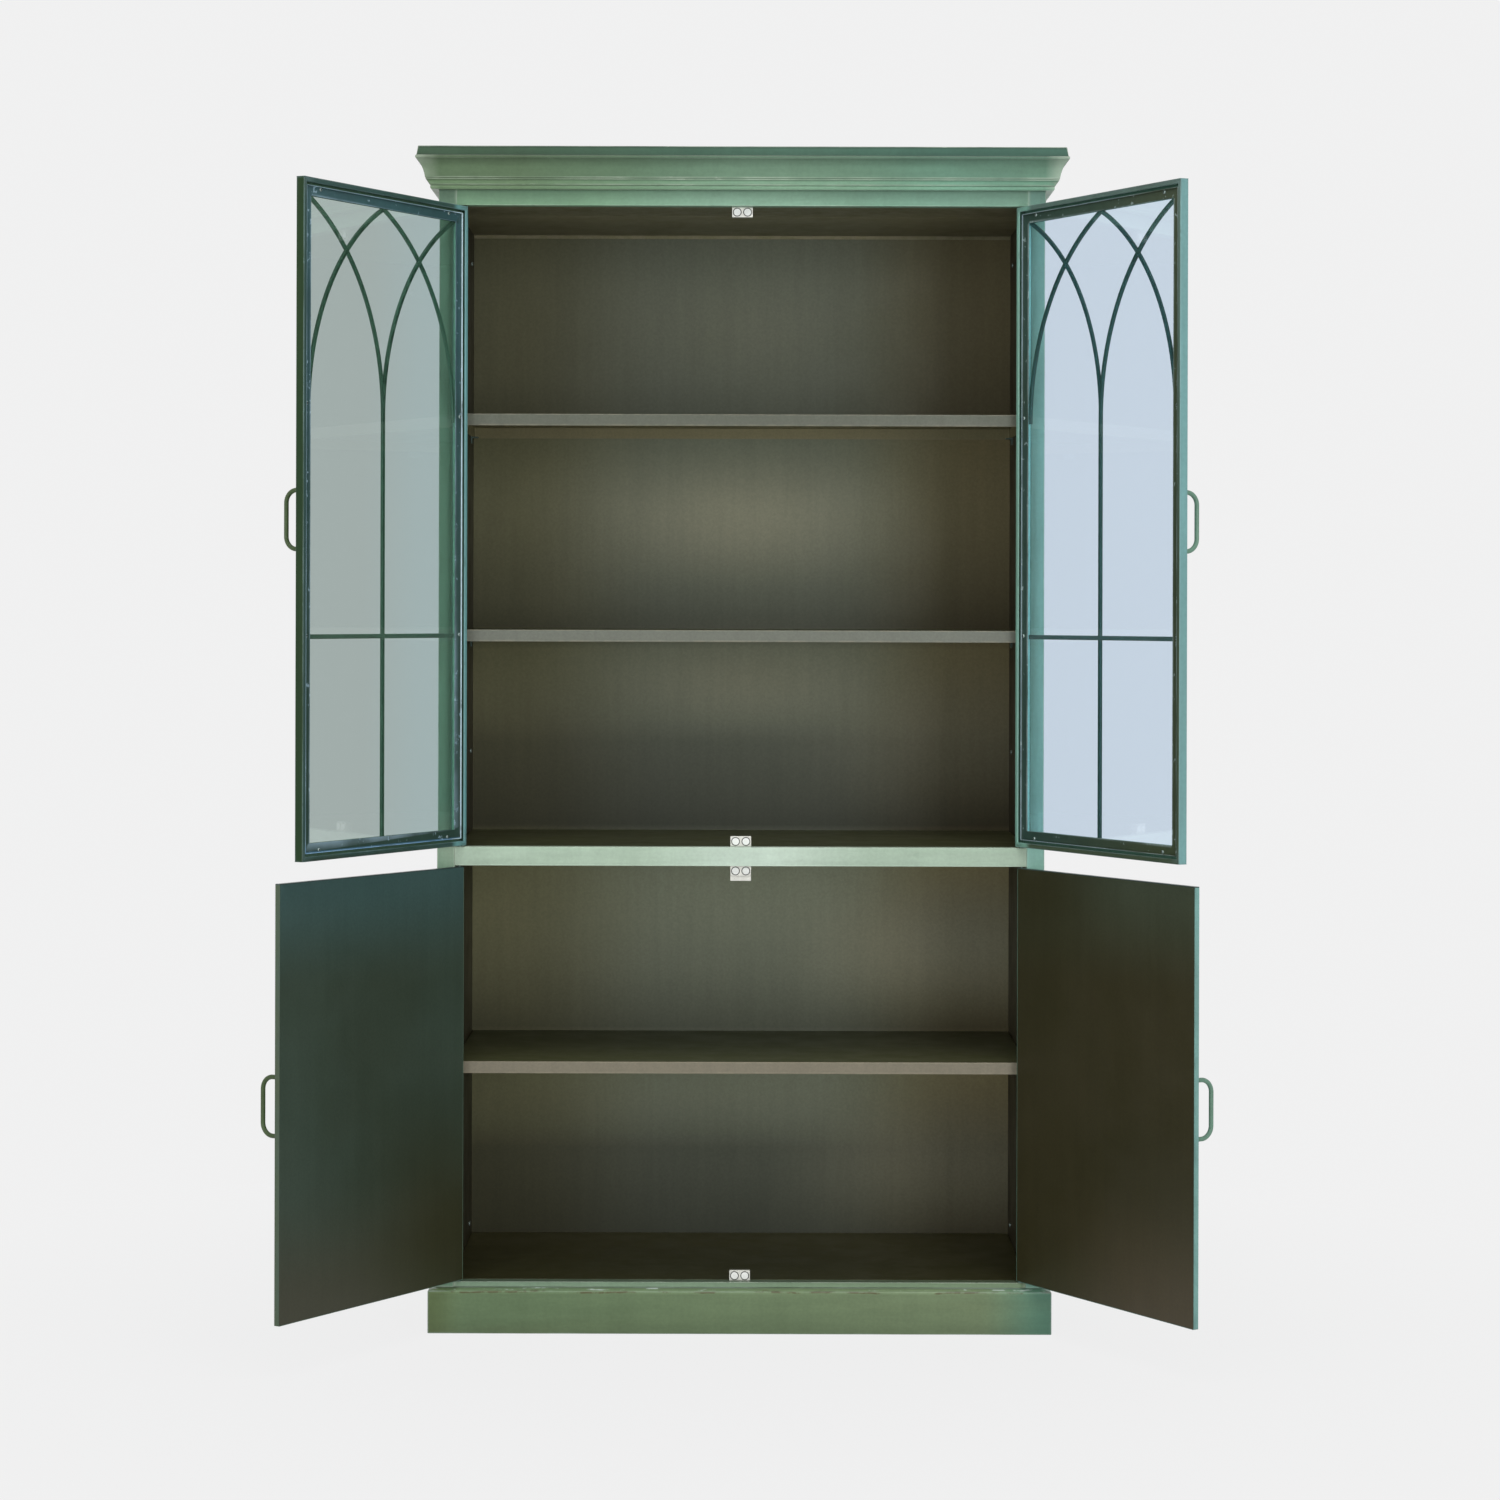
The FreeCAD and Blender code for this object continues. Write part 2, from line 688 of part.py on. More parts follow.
def make_glazing(name, side, angle):
    """The pane in its gasket, the angle bead that holds it and the bead's screws."""
    left, right = door_edges(side)
    glass_face = s.bar_depth - s.pivot_inset
    bead_seat = glass_face + s.glass_thickness
    pane = new_body(f"door_glass_{name}")
    sketch = new_sketch(pane, "XZ_Plane", -glass_face)
    rectangle(sketch, left + s.glass_inset, upper_door_base + s.glass_inset,
              right - s.glass_inset, upper_door_top - s.glass_inset)
    pad(pane, sketch, s.glass_thickness, backwards=True)
    gasket = new_body(f"glazing_gasket_{name}")
    flange_back = s.sheet - s.pivot_inset
    add_ring(gasket, side, s.bead_inset, s.gasket_width, flange_back, glass_face - flange_back)
    add_ring(gasket, side, s.bead_inset, s.glass_inset - s.bead_inset, glass_face,
             s.glass_thickness)
    bead = new_body(f"glazing_bead_{name}")
    add_ring(bead, side, s.bead_inset, s.door_flange - s.bead_inset, bead_seat, s.bead_sheet)
    add_ring(bead, side, s.bead_inset, s.bead_sheet, bead_seat, s.bead_height)
    screws = new_body(f"bead_screws_{name}", several=True)
    line = s.bead_screw_inset
    seat = -(bead_seat + s.bead_sheet)
    spots = [(edge, upper_door_base + share * (upper_door_top - upper_door_base))
             for edge in (left + line, right - line) for share in STILE_SCREW_SHARES]
    hinge = left if side < 0 else right
    spots += [(hinge - side * share * door_width, level)
              for level in (upper_door_base + line, upper_door_top - line)
              for share in RAIL_SCREW_SHARES]
    for x, y in spots:
        make_button_head(screws, "XZ_Plane", x, y, seat, s.bead_screw_radius,
                         s.bead_screw_height, turned=True)
    for body in (pane, gasket, bead, screws):
        stand(body, side, angle)
        keep(body)


STILE_SCREW_SHARES = (0.33, 0.67)
RAIL_SCREW_SHARES = (0.108, 0.89)


# The radius of each arc as a share of one bay, which is half the glass opening.
ARCH_RADIUS_SHARE = 1.79


def make_tracery(name, side, angle):
    """Four equal arcs that interlace over a mullion, and a transom below them."""
    left, right = door_edges(side)
    half_bar = s.bar_width / 2
    low = upper_door_base + s.door_flange
    high = upper_door_top - s.door_flange
    start, end = left + s.door_flange, right - s.door_flange
    middle = (start + end) / 2
    bay = middle - start
    radius = ARCH_RADIUS_SHARE * bay
    rise = math.sqrt(2 * ARCH_RADIUS_SHARE - 1) * bay
    spring = high - rise
    inner, outer = radius - half_bar, radius + half_bar
    body = new_body(f"door_tracery_{name}")
    # Each arc rises from its foot, leaning one way, to where its circle meets the top rail.
    for foot, lean in ((start, 1), (end, -1), (middle, 1), (middle, -1)):
        centre = foot + lean * radius
        tops = [centre - lean * crossing(edge, rise) for edge in (inner, outer)]
        sketch = new_sketch(body, "XZ_Plane", as_size(s.pivot_inset))
        outline(sketch, [(centre - lean * outer, spring, outer, -lean), (tops[1], high),
                         (tops[0], high, inner, lean), (centre - lean * inner, spring)])
        pad(body, sketch, s.bar_depth, backwards=True)
    transom = SHELVES["middle"] - s.shelf_lip / 2
    bars = ((middle - half_bar, low, middle + half_bar, spring),
            (start, transom - half_bar, end, transom + half_bar))
    for bar in bars:
        sketch = new_sketch(body, "XZ_Plane", as_size(s.pivot_inset))
        rectangle(sketch, *bar)
        pad(body, sketch, s.bar_depth, backwards=True)
    # The outer arcs die away against the stiles.
    waste = new_sketch(body, "XZ_Plane")
    rectangle(waste, left, low, start, high)
    rectangle(waste, end, low, right, high)
    pocket(body, waste, 2 * (s.bar_depth + s.overrun), both_ways=True)
    stand(body, side, angle)
    keep(body)


def crossing(radius, rise):
    """Return how far out a circle of this radius stands at this height above its centre."""
    text = f"sqrt(({radius.text}) ^ 2 - ({rise.text}) ^ 2)"
    return Size(text, math.sqrt(radius.value ** 2 - rise.value ** 2))


def make_lower_door(name, side, angle):
    """A folded outer pan with pivot holes, closed by a flat inner sheet."""
    left, right = door_edges(side)
    base, top = lower_door_base, lower_door_top
    wall = s.sheet
    front = s.pivot_inset
    body = new_body(f"lower_door_pan_{name}")
    sketch = new_sketch(body, "XZ_Plane", as_size(front))
    rectangle(sketch, left, base, right, top)
    pad(body, sketch, s.lower_door_depth, backwards=True)
    hollow = new_sketch(body, "XZ_Plane", front - wall)
    rectangle(hollow, left + wall, base + wall, right - wall, top - wall)
    pocket(body, hollow, s.lower_door_depth)
    bore = new_sketch(body, "XY_Plane")
    circle(bore, 0, 0, s.pin_radius + s.pin_fit)
    pocket(body, bore, 2 * (mid_rail_base + s.overrun), both_ways=True)
    liner = new_body(f"lower_door_liner_{name}")
    sketch = new_sketch(liner, "XZ_Plane", front - s.lower_door_depth + wall)
    rectangle(sketch, left + wall, base + wall, right - wall, top - wall)
    pad(liner, sketch, wall, backwards=True)
    for piece in (body, liner):
        stand(piece, side, angle)
        keep(piece)


def make_handle(label, side, angle, inset, level):
    """A round wire bow between two flat feet, on the outer face near the meeting edge."""
    body = new_body(label)
    half = s.handle_centres / 2
    face = -s.pivot_inset
    out = face - s.handle_reach
    knee = out + s.handle_bend
    path = new_sketch(body, "YZ_Plane")
    corners = [(face, half), (knee, half), (out, half - s.handle_bend),
               (out, s.handle_bend - half), (knee, -half), (face, -half)]
    edges = []
    for index, (here, there) in enumerate(zip(corners, corners[1:])):
        bent = index in (1, 3)
        start, end = flat(here), flat(there)
        piece = (arc_between(start, end, s.handle_bend.value, 1) if bent
                 else Part.LineSegment(start, end))
        edges.append(path.addGeometry(piece))
        fix(path, edges[-1], 1, *here)
        if bent:
            held = path.addConstraint(Sketcher.Constraint("Radius", edges[-1],
                                                          s.handle_bend.value))
            bind(path, f"Constraints[{held}]", s.handle_bend)
    for first, second in zip(edges, edges[1:]):
        path.addConstraint(Sketcher.Constraint("Coincident", first, 2, second, 1))
    fix(path, edges[-1], 2, *corners[-1])
    section = new_sketch(body, "XZ_Plane", -face)
    circle(section, 0, half, s.handle_wire_radius)
    bow = body.newObject("PartDesign::AdditivePipe", f"{label}_bow")
    bow.Profile = section
    bow.Spine = (path, [f"Edge{number + 1}" for number in range(len(edges))])
    half_foot = s.handle_foot_width / 2
    for way in (-1, 1):
        foot = new_sketch(body, "XZ_Plane", -face)
        inner = way * (half - s.handle_wire_radius)
        outer = way * (half + s.handle_foot_length - half_foot)
        outline(foot, [(-half_foot, inner), (half_foot, inner),
                       (half_foot, outer, s.handle_foot_rounding, way), (-half_foot, outer)])
        pad(body, foot, s.handle_foot_thickness)
    across = -side * (door_width - s.pivot_inset - inset)
    stand(body, side, angle, (across, 0, level))
    return keep(body)


def make_doors():
    """Two glazed doors above and two plain doors below."""
    upper_level = (upper_door_base + upper_door_top) / 2
    lower_level = (lower_door_base + lower_door_top) / 2 - s.lower_handle_drop
    sides = (("left", -1, UPPER_DOOR_ANGLE, LOWER_LEFT_ANGLE),
             ("right", 1, UPPER_DOOR_ANGLE, LOWER_RIGHT_ANGLE))
    for name, side, upper, lower in sides:
        make_upper_frame(name, side, upper)
        make_glazing(name, side, upper)
        make_tracery(name, side, upper)
        make_handle(f"upper_handle_{name}", side, upper, s.upper_handle_inset, upper_level)
        make_lower_door(name, side, lower)
        make_handle(f"lower_handle_{name}", side, lower, s.lower_handle_inset, lower_level)


make_plinth()
make_face_frame()
make_walls()
make_cornice()
make_shelves()
make_liner_screws()
make_catches()
make_pivots()
make_doors()

doc.recompute()

faults = [f"{item.Label}: {item.State}" for item in doc.Objects
          if "Invalid" in item.State or "Error" in item.State]
for piece in parts:
    if piece.Shape.isNull() or not piece.Shape.isValid():
        faults.append(f"{piece.Label}: no valid shape")
if faults:
    raise SystemExit("\n".join(faults))

os.makedirs("parts", exist_ok=True)
for piece in parts:
    piece.Shape.exportStep(f"parts/{piece.Label}.step")
    print(f"{piece.Label}: {len(piece.Shape.Solids)} solid, {piece.Shape.Volume:.0f} mm3")
print(f"{len(parts)} nodes, {total_height.value:.1f} mm tall")
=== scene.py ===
import json
import math

import bmesh
import bpy
from mathutils import Matrix, Vector


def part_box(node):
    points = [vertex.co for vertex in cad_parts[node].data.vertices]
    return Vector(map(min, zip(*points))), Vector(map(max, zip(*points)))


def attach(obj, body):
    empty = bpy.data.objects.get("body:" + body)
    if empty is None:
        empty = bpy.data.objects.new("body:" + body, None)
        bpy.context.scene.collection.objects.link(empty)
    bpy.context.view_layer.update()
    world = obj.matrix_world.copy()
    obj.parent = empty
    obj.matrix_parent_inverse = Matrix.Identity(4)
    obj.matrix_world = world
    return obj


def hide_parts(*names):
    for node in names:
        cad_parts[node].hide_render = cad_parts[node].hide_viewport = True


# A tall two-part cupboard in painted sheet steel with all four doors open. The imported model
# gives every size. Here its sheets get rounded folds, its fittings get their small forms, and
# every surface gets its paint, patina, glass or metal.

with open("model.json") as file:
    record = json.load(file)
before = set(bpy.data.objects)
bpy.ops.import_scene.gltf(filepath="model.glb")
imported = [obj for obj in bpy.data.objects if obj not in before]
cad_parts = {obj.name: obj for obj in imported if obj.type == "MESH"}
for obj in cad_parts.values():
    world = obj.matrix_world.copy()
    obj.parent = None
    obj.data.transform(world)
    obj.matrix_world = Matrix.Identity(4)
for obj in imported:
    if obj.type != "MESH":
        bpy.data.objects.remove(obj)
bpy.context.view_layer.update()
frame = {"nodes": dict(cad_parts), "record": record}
nodes = frame["nodes"]
slots = {part["node"]: part["material_slot"] for part in frame["record"]["subparts"]}
bodies = {name: body for body, names in frame["record"]["behaviour"]["bodies"].items()
          for name in names}

MM = 0.001


# Making and finishing a piece

SHARP_TURN = 40
FLAT_TURN = 0.5
TOUCHING = 0.01 * MM
NEAR_PLANE = 0.05 * MM


def put_in(name, data):
    """Put an object in the scene."""
    made = bpy.data.objects.new(name, data)
    bpy.context.scene.collection.objects.link(made)
    return made


def finish_piece(bm, name, stands_for, paint):
    """Turn a worked mesh into a piece that rides and replaces what it stands for."""
    mesh = bpy.data.meshes.new(name)
    bm.to_mesh(mesh)
    bm.free()
    mesh.shade_smooth()
    mesh.set_sharp_from_angle(angle=math.radians(SHARP_TURN))
    piece = put_in(name, mesh)
    even = piece.modifiers.new("even_shading", "WEIGHTED_NORMAL")
    even.keep_sharp = True
    mesh.materials.append(paint)
    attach(piece, bodies[stands_for])
    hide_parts(stands_for)
    return piece


def merged_copy(name):
    """Return a CAD piece as one merged mesh with its flat faces whole."""
    mesh = nodes[name].data.copy()
    mesh.attributes.remove(mesh.attributes["custom_normal"])
    bm = bmesh.new()
    bm.from_mesh(mesh)
    bpy.data.meshes.remove(mesh)
    bmesh.ops.remove_doubles(bm, verts=bm.verts, dist=TOUCHING)
    bmesh.ops.dissolve_limit(bm, angle_limit=math.radians(FLAT_TURN), verts=bm.verts,
                             edges=bm.edges)
    bmesh.ops.connect_verts_concave(bm, faces=bm.faces)
    return bm


def face_width(face):
    """Return about how wide a long face is."""
    return 2 * face.calc_area() / face.calc_perimeter()


def bends(bm, least):
    """Return the edges where two faces turn by at least this many degrees."""
    return [edge for edge in bm.edges
            if len(edge.link_faces) == 2 and edge.calc_face_angle(0) > math.radians(least)]


def ease(bm, edges, radius, steps):
    """Round some edges."""
    if edges:
        bmesh.ops.bevel(bm, geom=edges, offset=radius, offset_type="OFFSET", segments=steps,
                        profile=0.5, material=-1, affect="EDGES", clamp_overlap=False)


def cut(bm, point, across, near=NEAR_PLANE, clear_past=False):
    """Cut every face along a plane, and say which parts of the mesh lie on the cut."""
    return bmesh.ops.bisect_plane(bm, geom=bm.verts[:] + bm.edges[:] + bm.faces[:], dist=near,
                                  plane_co=point, plane_no=across,
                                  clear_outer=clear_past)["geom_cut"]


def at_ends(edge, axis, low, high):
    """Tell whether an edge lies in an end plane of a straight member."""
    return any(all(abs(vert.co[axis] - level) < NEAR_PLANE for vert in edge.verts)
               for level in (low, high))


def never(edge):
    """Say that an edge isn't flush with a neighbour."""
    return False


WEAR_FROM, WEAR_FULL = 13, 20


def mark_wear(bm, flush=never):
    """Give every point its share of wear on outer folds, and of dark glaze in inner ones."""
    worn = bm.verts.layers.float.new("wear")
    glazed = bm.verts.layers.float.new("hollow")
    for vert in bm.verts:
        for layer, outer in ((worn, True), (glazed, False)):
            turns = [edge.calc_face_angle(0) for edge in vert.link_edges
                     if len(edge.link_faces) == 2 and edge.is_convex == outer
                     and not flush(edge)]
            sharpest = math.degrees(max(turns, default=0))
            share = (sharpest - WEAR_FROM) / (WEAR_FULL - WEAR_FROM)
            vert[layer] = min(max(share, 0), 1)


LONG_SHARE = 0.6
END_STRIP = 2 * MM


def cut_ends(bm):
    """Cut a member just inside its ends, so that wear at an end stays at that end."""
    longest = max(bm.edges, key=lambda edge: edge.calc_length())
    way = (longest.verts[1].co - longest.verts[0].co).normalized()
    spans = [sorted(vert.co.dot(way) for vert in edge.verts) for edge in bm.edges
             if edge.calc_length() > LONG_SHARE * longest.calc_length()]
    for level in (max(span[0] for span in spans) + END_STRIP,
                  min(span[1] for span in spans) - END_STRIP):
        cut(bm, way * level, way)


FOLD = 1.8 * MM
RAIL_FOLD = 1.2 * MM
CATCH_FOLD = 0.8 * MM
INNER_FOLD = 0.6 * MM
RAW_EDGE = 0.35 * MM
RAW_SHEET = 1.6 * MM
BORDER = 4 * MM
BROAD = 2.5 * BORDER
MOST_CORNERS = 8
FOLD_TURN, RAW_TURN = 30, 60


def form_sheet(name, paint, fold=FOLD, flush=never, cut_level=None):
    """Replace a CAD sheet by one with rounded folds, eased raw edges and marked wear."""
    bm = merged_copy(name)
    low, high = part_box(name)
    if cut_level is not None:
        cut(bm, (0, 0, cut_level), (0, 0, 1))
    broad = [face for face in bm.faces if face_width(face) > BROAD
             and len(face.verts) <= MOST_CORNERS]
    if broad:
        bmesh.ops.inset_individual(bm, faces=broad, thickness=BORDER, use_even_offset=True)
    inside = [edge for edge in bends(bm, FOLD_TURN) if not edge.is_convex]
    ease(bm, inside, INNER_FOLD, 4)
    outside = [edge for edge in bends(bm, FOLD_TURN) if edge.is_convex
               and all(face_width(face) > RAW_SHEET for face in edge.link_faces)
               and not flush(edge)]
    ease(bm, outside, fold, 4)
    raw = [edge for edge in bends(bm, RAW_TURN) if edge.is_convex
           and any(face_width(face) < RAW_SHEET for face in edge.link_faces)]
    ease(bm, raw, RAW_EDGE, 2)
    bmesh.ops.connect_verts_concave(bm, faces=bm.faces)
    cut_ends(bm)
    bmesh.ops.dissolve_degenerate(bm, dist=TOUCHING, edges=bm.edges)
    bmesh.ops.connect_verts_concave(bm, faces=bm.faces)
    mark_wear(bm, flush)
    for vert in bm.verts:
        vert.co = Vector(min(max(vert.co[i], low[i]), high[i]) for i in range(3))
    finish_piece(bm, "formed_" + name, name, paint)


# Paints, patinas, glass and metals, all on object coordinates

# Most of a noise's values lie in this range
NOISE_RANGE = (0.3, 0.7)
PAINT_SPECULAR = 0.25
LINE_WANDER = 1.2 * MM
STAIN_WANDER = 12 * MM


class Recipe:
    """A material's node tree and the few moves that its finishes share."""

    def __init__(self, name):
        self.material = bpy.data.materials.new(name)
        self.material.use_nodes = True
        self.tree = self.material.node_tree
        self.shader = self.tree.nodes["Principled BSDF"]
        self.read(self.add("ShaderNodeTexCoord").outputs["Object"])

    def read(self, place):
        """Take every pattern from these coordinates."""
        self.place = place
        self.x, self.y, self.z = self.add("ShaderNodeSeparateXYZ", Vector=place).outputs

    def follow_door(self, side, angle):
        """Read along an open door: x from its pivot to its free edge, y from front to back."""
        turned = self.add("ShaderNodeMapping", {"vector_type": "TEXTURE"}, Vector=self.place,
                          Location=(side * PIVOT_OUT * MM, PIVOT_IN * MM, 0.0),
                          Rotation=(0.0, 0.0, math.radians(side * angle)))
        self.read(turned.outputs["Vector"])
        self.x = self.maths("MULTIPLY", self.x, -side)

    def add(self, kind, settings=None, **inputs):
        """Add a node, set it up and feed its inputs."""
        made = self.tree.nodes.new(kind)
        for key, value in (settings or {}).items():
            setattr(made, key, value)
        for key, value in inputs.items():
            self.feed(made.inputs[key.replace("_", " ")], value)
        return made

    def feed(self, socket, value):
        """Link a socket to an output, or give it a value."""
        if isinstance(value, bpy.types.NodeSocket):
            self.tree.links.new(value, socket)
        else:
            socket.default_value = value

    def maths(self, operation, first, second=0.0):
        """Work out something from one or two values."""
        made = self.add("ShaderNodeMath", {"operation": operation})
        self.feed(made.inputs[0], first)
        self.feed(made.inputs[1], second)
        return made.outputs[0]

    def ramp(self, value, low, high, start=0.0, end=1.0):
        """Run smoothly from start to end while the value goes from low to high."""
        made = self.add("ShaderNodeMapRange", {"interpolation_type": "SMOOTHSTEP"}, Value=value,
                        From_Min=low, From_Max=high, To_Min=start, To_Max=end)
        return made.outputs["Result"]

    def stretch(self, across, deep, up):
        """Return the place with each axis scaled, for a pattern that isn't even."""
        return self.add("ShaderNodeMapping", None, Vector=self.place,
                        Scale=(across, deep, up)).outputs["Vector"]

    def cloud(self, scale, detail=3.0, roughness=0.5, where=None, seed=0.0):
        """Return soft noise between none and one."""
        made = self.add("ShaderNodeTexNoise", {"noise_dimensions": "4D"},
                        Vector=where or self.place, W=seed, Scale=scale, Detail=detail,
                        Roughness=roughness)
        return made.outputs["Fac"]

    def blend(self, share, under, over, mode="MIX"):
        """Lay one tone over a share of another."""
        made = self.add("ShaderNodeMix", {"data_type": "RGBA", "blend_type": mode,
                                          "clamp_factor": True})
        self.feed(made.inputs[0], share)
        for number, tone in ((6, under), (7, over)):
            linked = isinstance(tone, bpy.types.NodeSocket)
            self.feed(made.inputs[number], tone if linked else (*tone, 1.0))
        return made.outputs[2]

    def shade(self, tone, *levels):
        """Multiply a tone by some grey levels."""
        level = levels[0]
        for other in levels[1:]:
            level = self.maths("MULTIPLY", level, other)
        grey = self.add("ShaderNodeCombineColor", None, Red=level, Green=level, Blue=level)
        return self.blend(1.0, tone, grey.outputs[0], "MULTIPLY")

    def bands(self, value, stops):
        """Return a grey level that runs through (place, level) stops along a value."""
        low, high = stops[0][0], stops[-1][0]
        share = self.add("ShaderNodeMapRange", None, Value=value, From_Min=low, From_Max=high)
        made = self.add("ShaderNodeValToRGB", None, Fac=share.outputs["Result"])
        ramp = made.color_ramp
        ramp.elements.remove(ramp.elements[1])
        for number, (place, level) in enumerate(stops):
            share = (place - low) / (high - low)
            stop = ramp.elements.new(share) if number else ramp.elements[0]
            stop.position = share
            stop.color = (level, level, level, 1.0)
        return made.outputs["Color"]

    def zoned(self, tone, zones, mode="MIX"):
        """Lay other tones over parts of a piece: a tone, then axis, where it starts, is full."""
        for over, *limits in zones:
            share = 1.0
            for axis, start, full in limits:
                share = self.maths("MULTIPLY", self.ramp(getattr(self, axis), start, full), share)
            tone = self.blend(share, tone, over, mode)
        return tone

    def soft_patch(self, low_x, high_x, low_z, high_z, strength):
        """Return a soft-edged share inside a box of the front view."""
        share = strength
        for axis, low, high in ((self.z, low_z, high_z), (self.x, low_x, high_x)):
            away = self.maths("ABSOLUTE", self.maths("SUBTRACT", axis, (low + high) / 2))
            share = self.maths("MULTIPLY", self.ramp(away, 0.0, (high - low) / 2, 1.0, 0.0),
                               share)
        return share

    def painted_light_patches(self, tone, patches):
        """Paint soft-edged patches of light over parts of the front view."""
        for *box, tint in patches:
            tone = self.blend(self.soft_patch(*box), tone, tint)
        return tone

    def waver(self, value, cloud, most):
        """Return a value that a cloud moves up and down."""
        return self.maths("ADD", value, self.maths("MULTIPLY", self.maths(
            "SUBTRACT", cloud, 0.5), most))

    def banded(self, tone, bands, seed):
        """Paint light and shade into a tone along the height, with lines that waver a little."""
        height = self.waver(self.z, self.cloud(24.0, 2.0, 0.5, seed=seed), LINE_WANDER)
        return self.blend(1.0, tone, self.bands(height, bands), "MULTIPLY")

    def stained(self, tone, stains, seed):
        """Lay broken lines at some heights: level, half height, least cloud, tone."""
        if stains:
            height = self.waver(self.z, self.cloud(11.0, 3.0, 0.6, seed=seed), STAIN_WANDER)
        for number, (level, half, least, stain) in enumerate(stains, 1):
            off = self.maths("ABSOLUTE", self.maths("SUBTRACT", height, level))
            here = self.ramp(self.cloud(30.0, 4.0, 0.6, seed=seed + number), least,
                             least + 0.12, 0.0, 0.8)
            tone = self.blend(self.maths("MULTIPLY", self.ramp(off, half, 0.0), here), tone,
                              stain)
        return tone

    def bump(self, height, depth, strength, under=None):
        """Raise a surface by a pattern, on top of another bump."""
        made = self.add("ShaderNodeBump", None, Height=height, Distance=depth,
                        Strength=strength)
        if under is not None:
            self.feed(made.inputs["Normal"], under)
        return made.outputs["Normal"]

    def done(self, **inputs):
        """Feed the shader and return the material."""
        for key, value in inputs.items():
            self.feed(self.shader.inputs[key.replace("_", " ")], value)
        return self.material


def colour(red, green, blue):
    """Return the linear colour of an 8-bit screen colour."""
    def linear(level):
        share = level / 255
        return share / 12.92 if share <= 0.04045 else ((share + 0.055) / 1.055) ** 2.4
    return tuple(linear(level) for level in (red, green, blue))


# How a paint's marks are drawn out, and over which stretch of x its two tones run
ALONG = (0.12, 1.0, 1.0)
UPRIGHT = (1.0, 1.0, 0.12)
EVEN = (0.6, 0.6, 0.6)
CARCASS = (-0.5, 0.5)
DOOR = (0.0, 0.474)
OLIVE = colour(96, 98, 70)
LIGHT_NICK = colour(206, 218, 200)
DARK_GLAZE = colour(40, 48, 34)
BRIGHT_BRONZE = colour(150, 142, 122)


def aged_paint(name, left, right=None, patch=OLIVE, nick=LIGHT_NICK, gloss=0.36, patches=0.4,
               grain=EVEN, wear=0.5, span=CARCASS, door=None, bands=None, zones=(), light_patches=(),
               tints=(), stains=(), specks=0.755, seed=0.0):
    """Rubbed satin paint: two tones, soft patches, brush marks, glazed hollows, worn folds, and
    painted light and shade.
    """
    r = Recipe(name)
    if door:
        r.follow_door(*door)
    # The two tones run from left to right: partly a real change of tint, partly painted light and
    # shade for how lit each side is.
    drift = r.waver(r.ramp(r.x, *span), r.cloud(2.6, seed=seed), 0.5)
    # The patches of light laid over the tones are painted light
    tone = r.painted_light_patches(r.zoned(r.blend(drift, left, right or left), zones), light_patches)
    lie = r.stretch(*(9 * share for share in grain))
    blotches = r.ramp(r.cloud(1.0, 4.0, 0.55, lie, seed + 1), 0.46, 0.74, 0.0, patches)
    tone = r.blend(blotches, tone, patch)
    strokes = r.cloud(1.0, 3.0, 0.65, r.stretch(*(60 * share for share in grain)), seed + 2)
    across = r.cloud(1.0, 2.0, 0.6, r.stretch(38, 38, 2), seed + 3)
    fine = r.cloud(160.0, 2.0, 0.6, seed=seed + 4)
    tone = r.shade(tone, r.ramp(strokes, *NOISE_RANGE, 0.94, 1.06),
                   r.ramp(across, *NOISE_RANGE, 0.97, 1.03),
                   r.ramp(fine, *NOISE_RANGE, 0.96, 1.04))
    # Painted light and shade along the height, with tints laid over it
    if bands:
        tone = r.zoned(r.banded(tone, bands, seed + 5), tints, "MULTIPLY")
    tone = r.stained(tone, stains, seed + 13)
    fold = r.add("ShaderNodeAttribute", {"attribute_name": "wear"}).outputs["Fac"]
    hollow = r.add("ShaderNodeAttribute", {"attribute_name": "hollow"}).outputs["Fac"]
    tone = r.blend(r.maths("MULTIPLY", hollow, 0.6), tone, DARK_GLAZE)
    rubbed = r.maths("MULTIPLY", fold, r.ramp(r.cloud(9.0, 3.0, 0.6, seed=seed + 6), 0.35, 0.65,
                                              0.1, 0.45))
    tone = r.blend(rubbed, tone, nick)
    chips = r.cloud(1.0, 5.0, 0.7, r.stretch(*(70 * (0.3 + 0.7 * share) for share in grain)),
                    seed + 7)
    bare = r.maths("MULTIPLY", fold, r.ramp(chips, 0.6, 0.66, 0.0, wear))
    scuffs = r.maths("MULTIPLY", fold, r.ramp(r.cloud(26.0, 4.0, 0.65, seed=seed + 8),
                                              0.58, 0.68, 0.0, 0.7 * wear))
    tone = r.blend(scuffs, tone, DARK_GLAZE)
    tone = r.blend(bare, tone, nick)
    flecks = r.ramp(r.cloud(95.0, 3.0, 0.55, seed=seed + 9), specks, specks + 0.035, 0.0, 0.45)
    tone = r.blend(flecks, tone, nick)
    sheen = r.ramp(r.cloud(14.0, 4.0, 0.6, seed=seed + 10), *NOISE_RANGE, gloss - 0.07,
                   gloss + 0.1)
    sheen = r.maths("ADD", sheen, r.maths("MULTIPLY", bare, 0.15))
    skin = r.bump(r.cloud(420.0, 2.0, 0.5, seed=seed + 11), 0.04 * MM, 0.5)
    waves = r.bump(r.cloud(9.0, 2.0, 0.5, seed=seed + 12), 0.4 * MM, 0.3, skin)
    chipped = r.bump(r.maths("SUBTRACT", 1.0, bare), 0.12 * MM, 0.6, waves)
    return r.done(Base_Color=tone, Roughness=sheen, Normal=chipped,
                  Specular_IOR_Level=PAINT_SPECULAR)


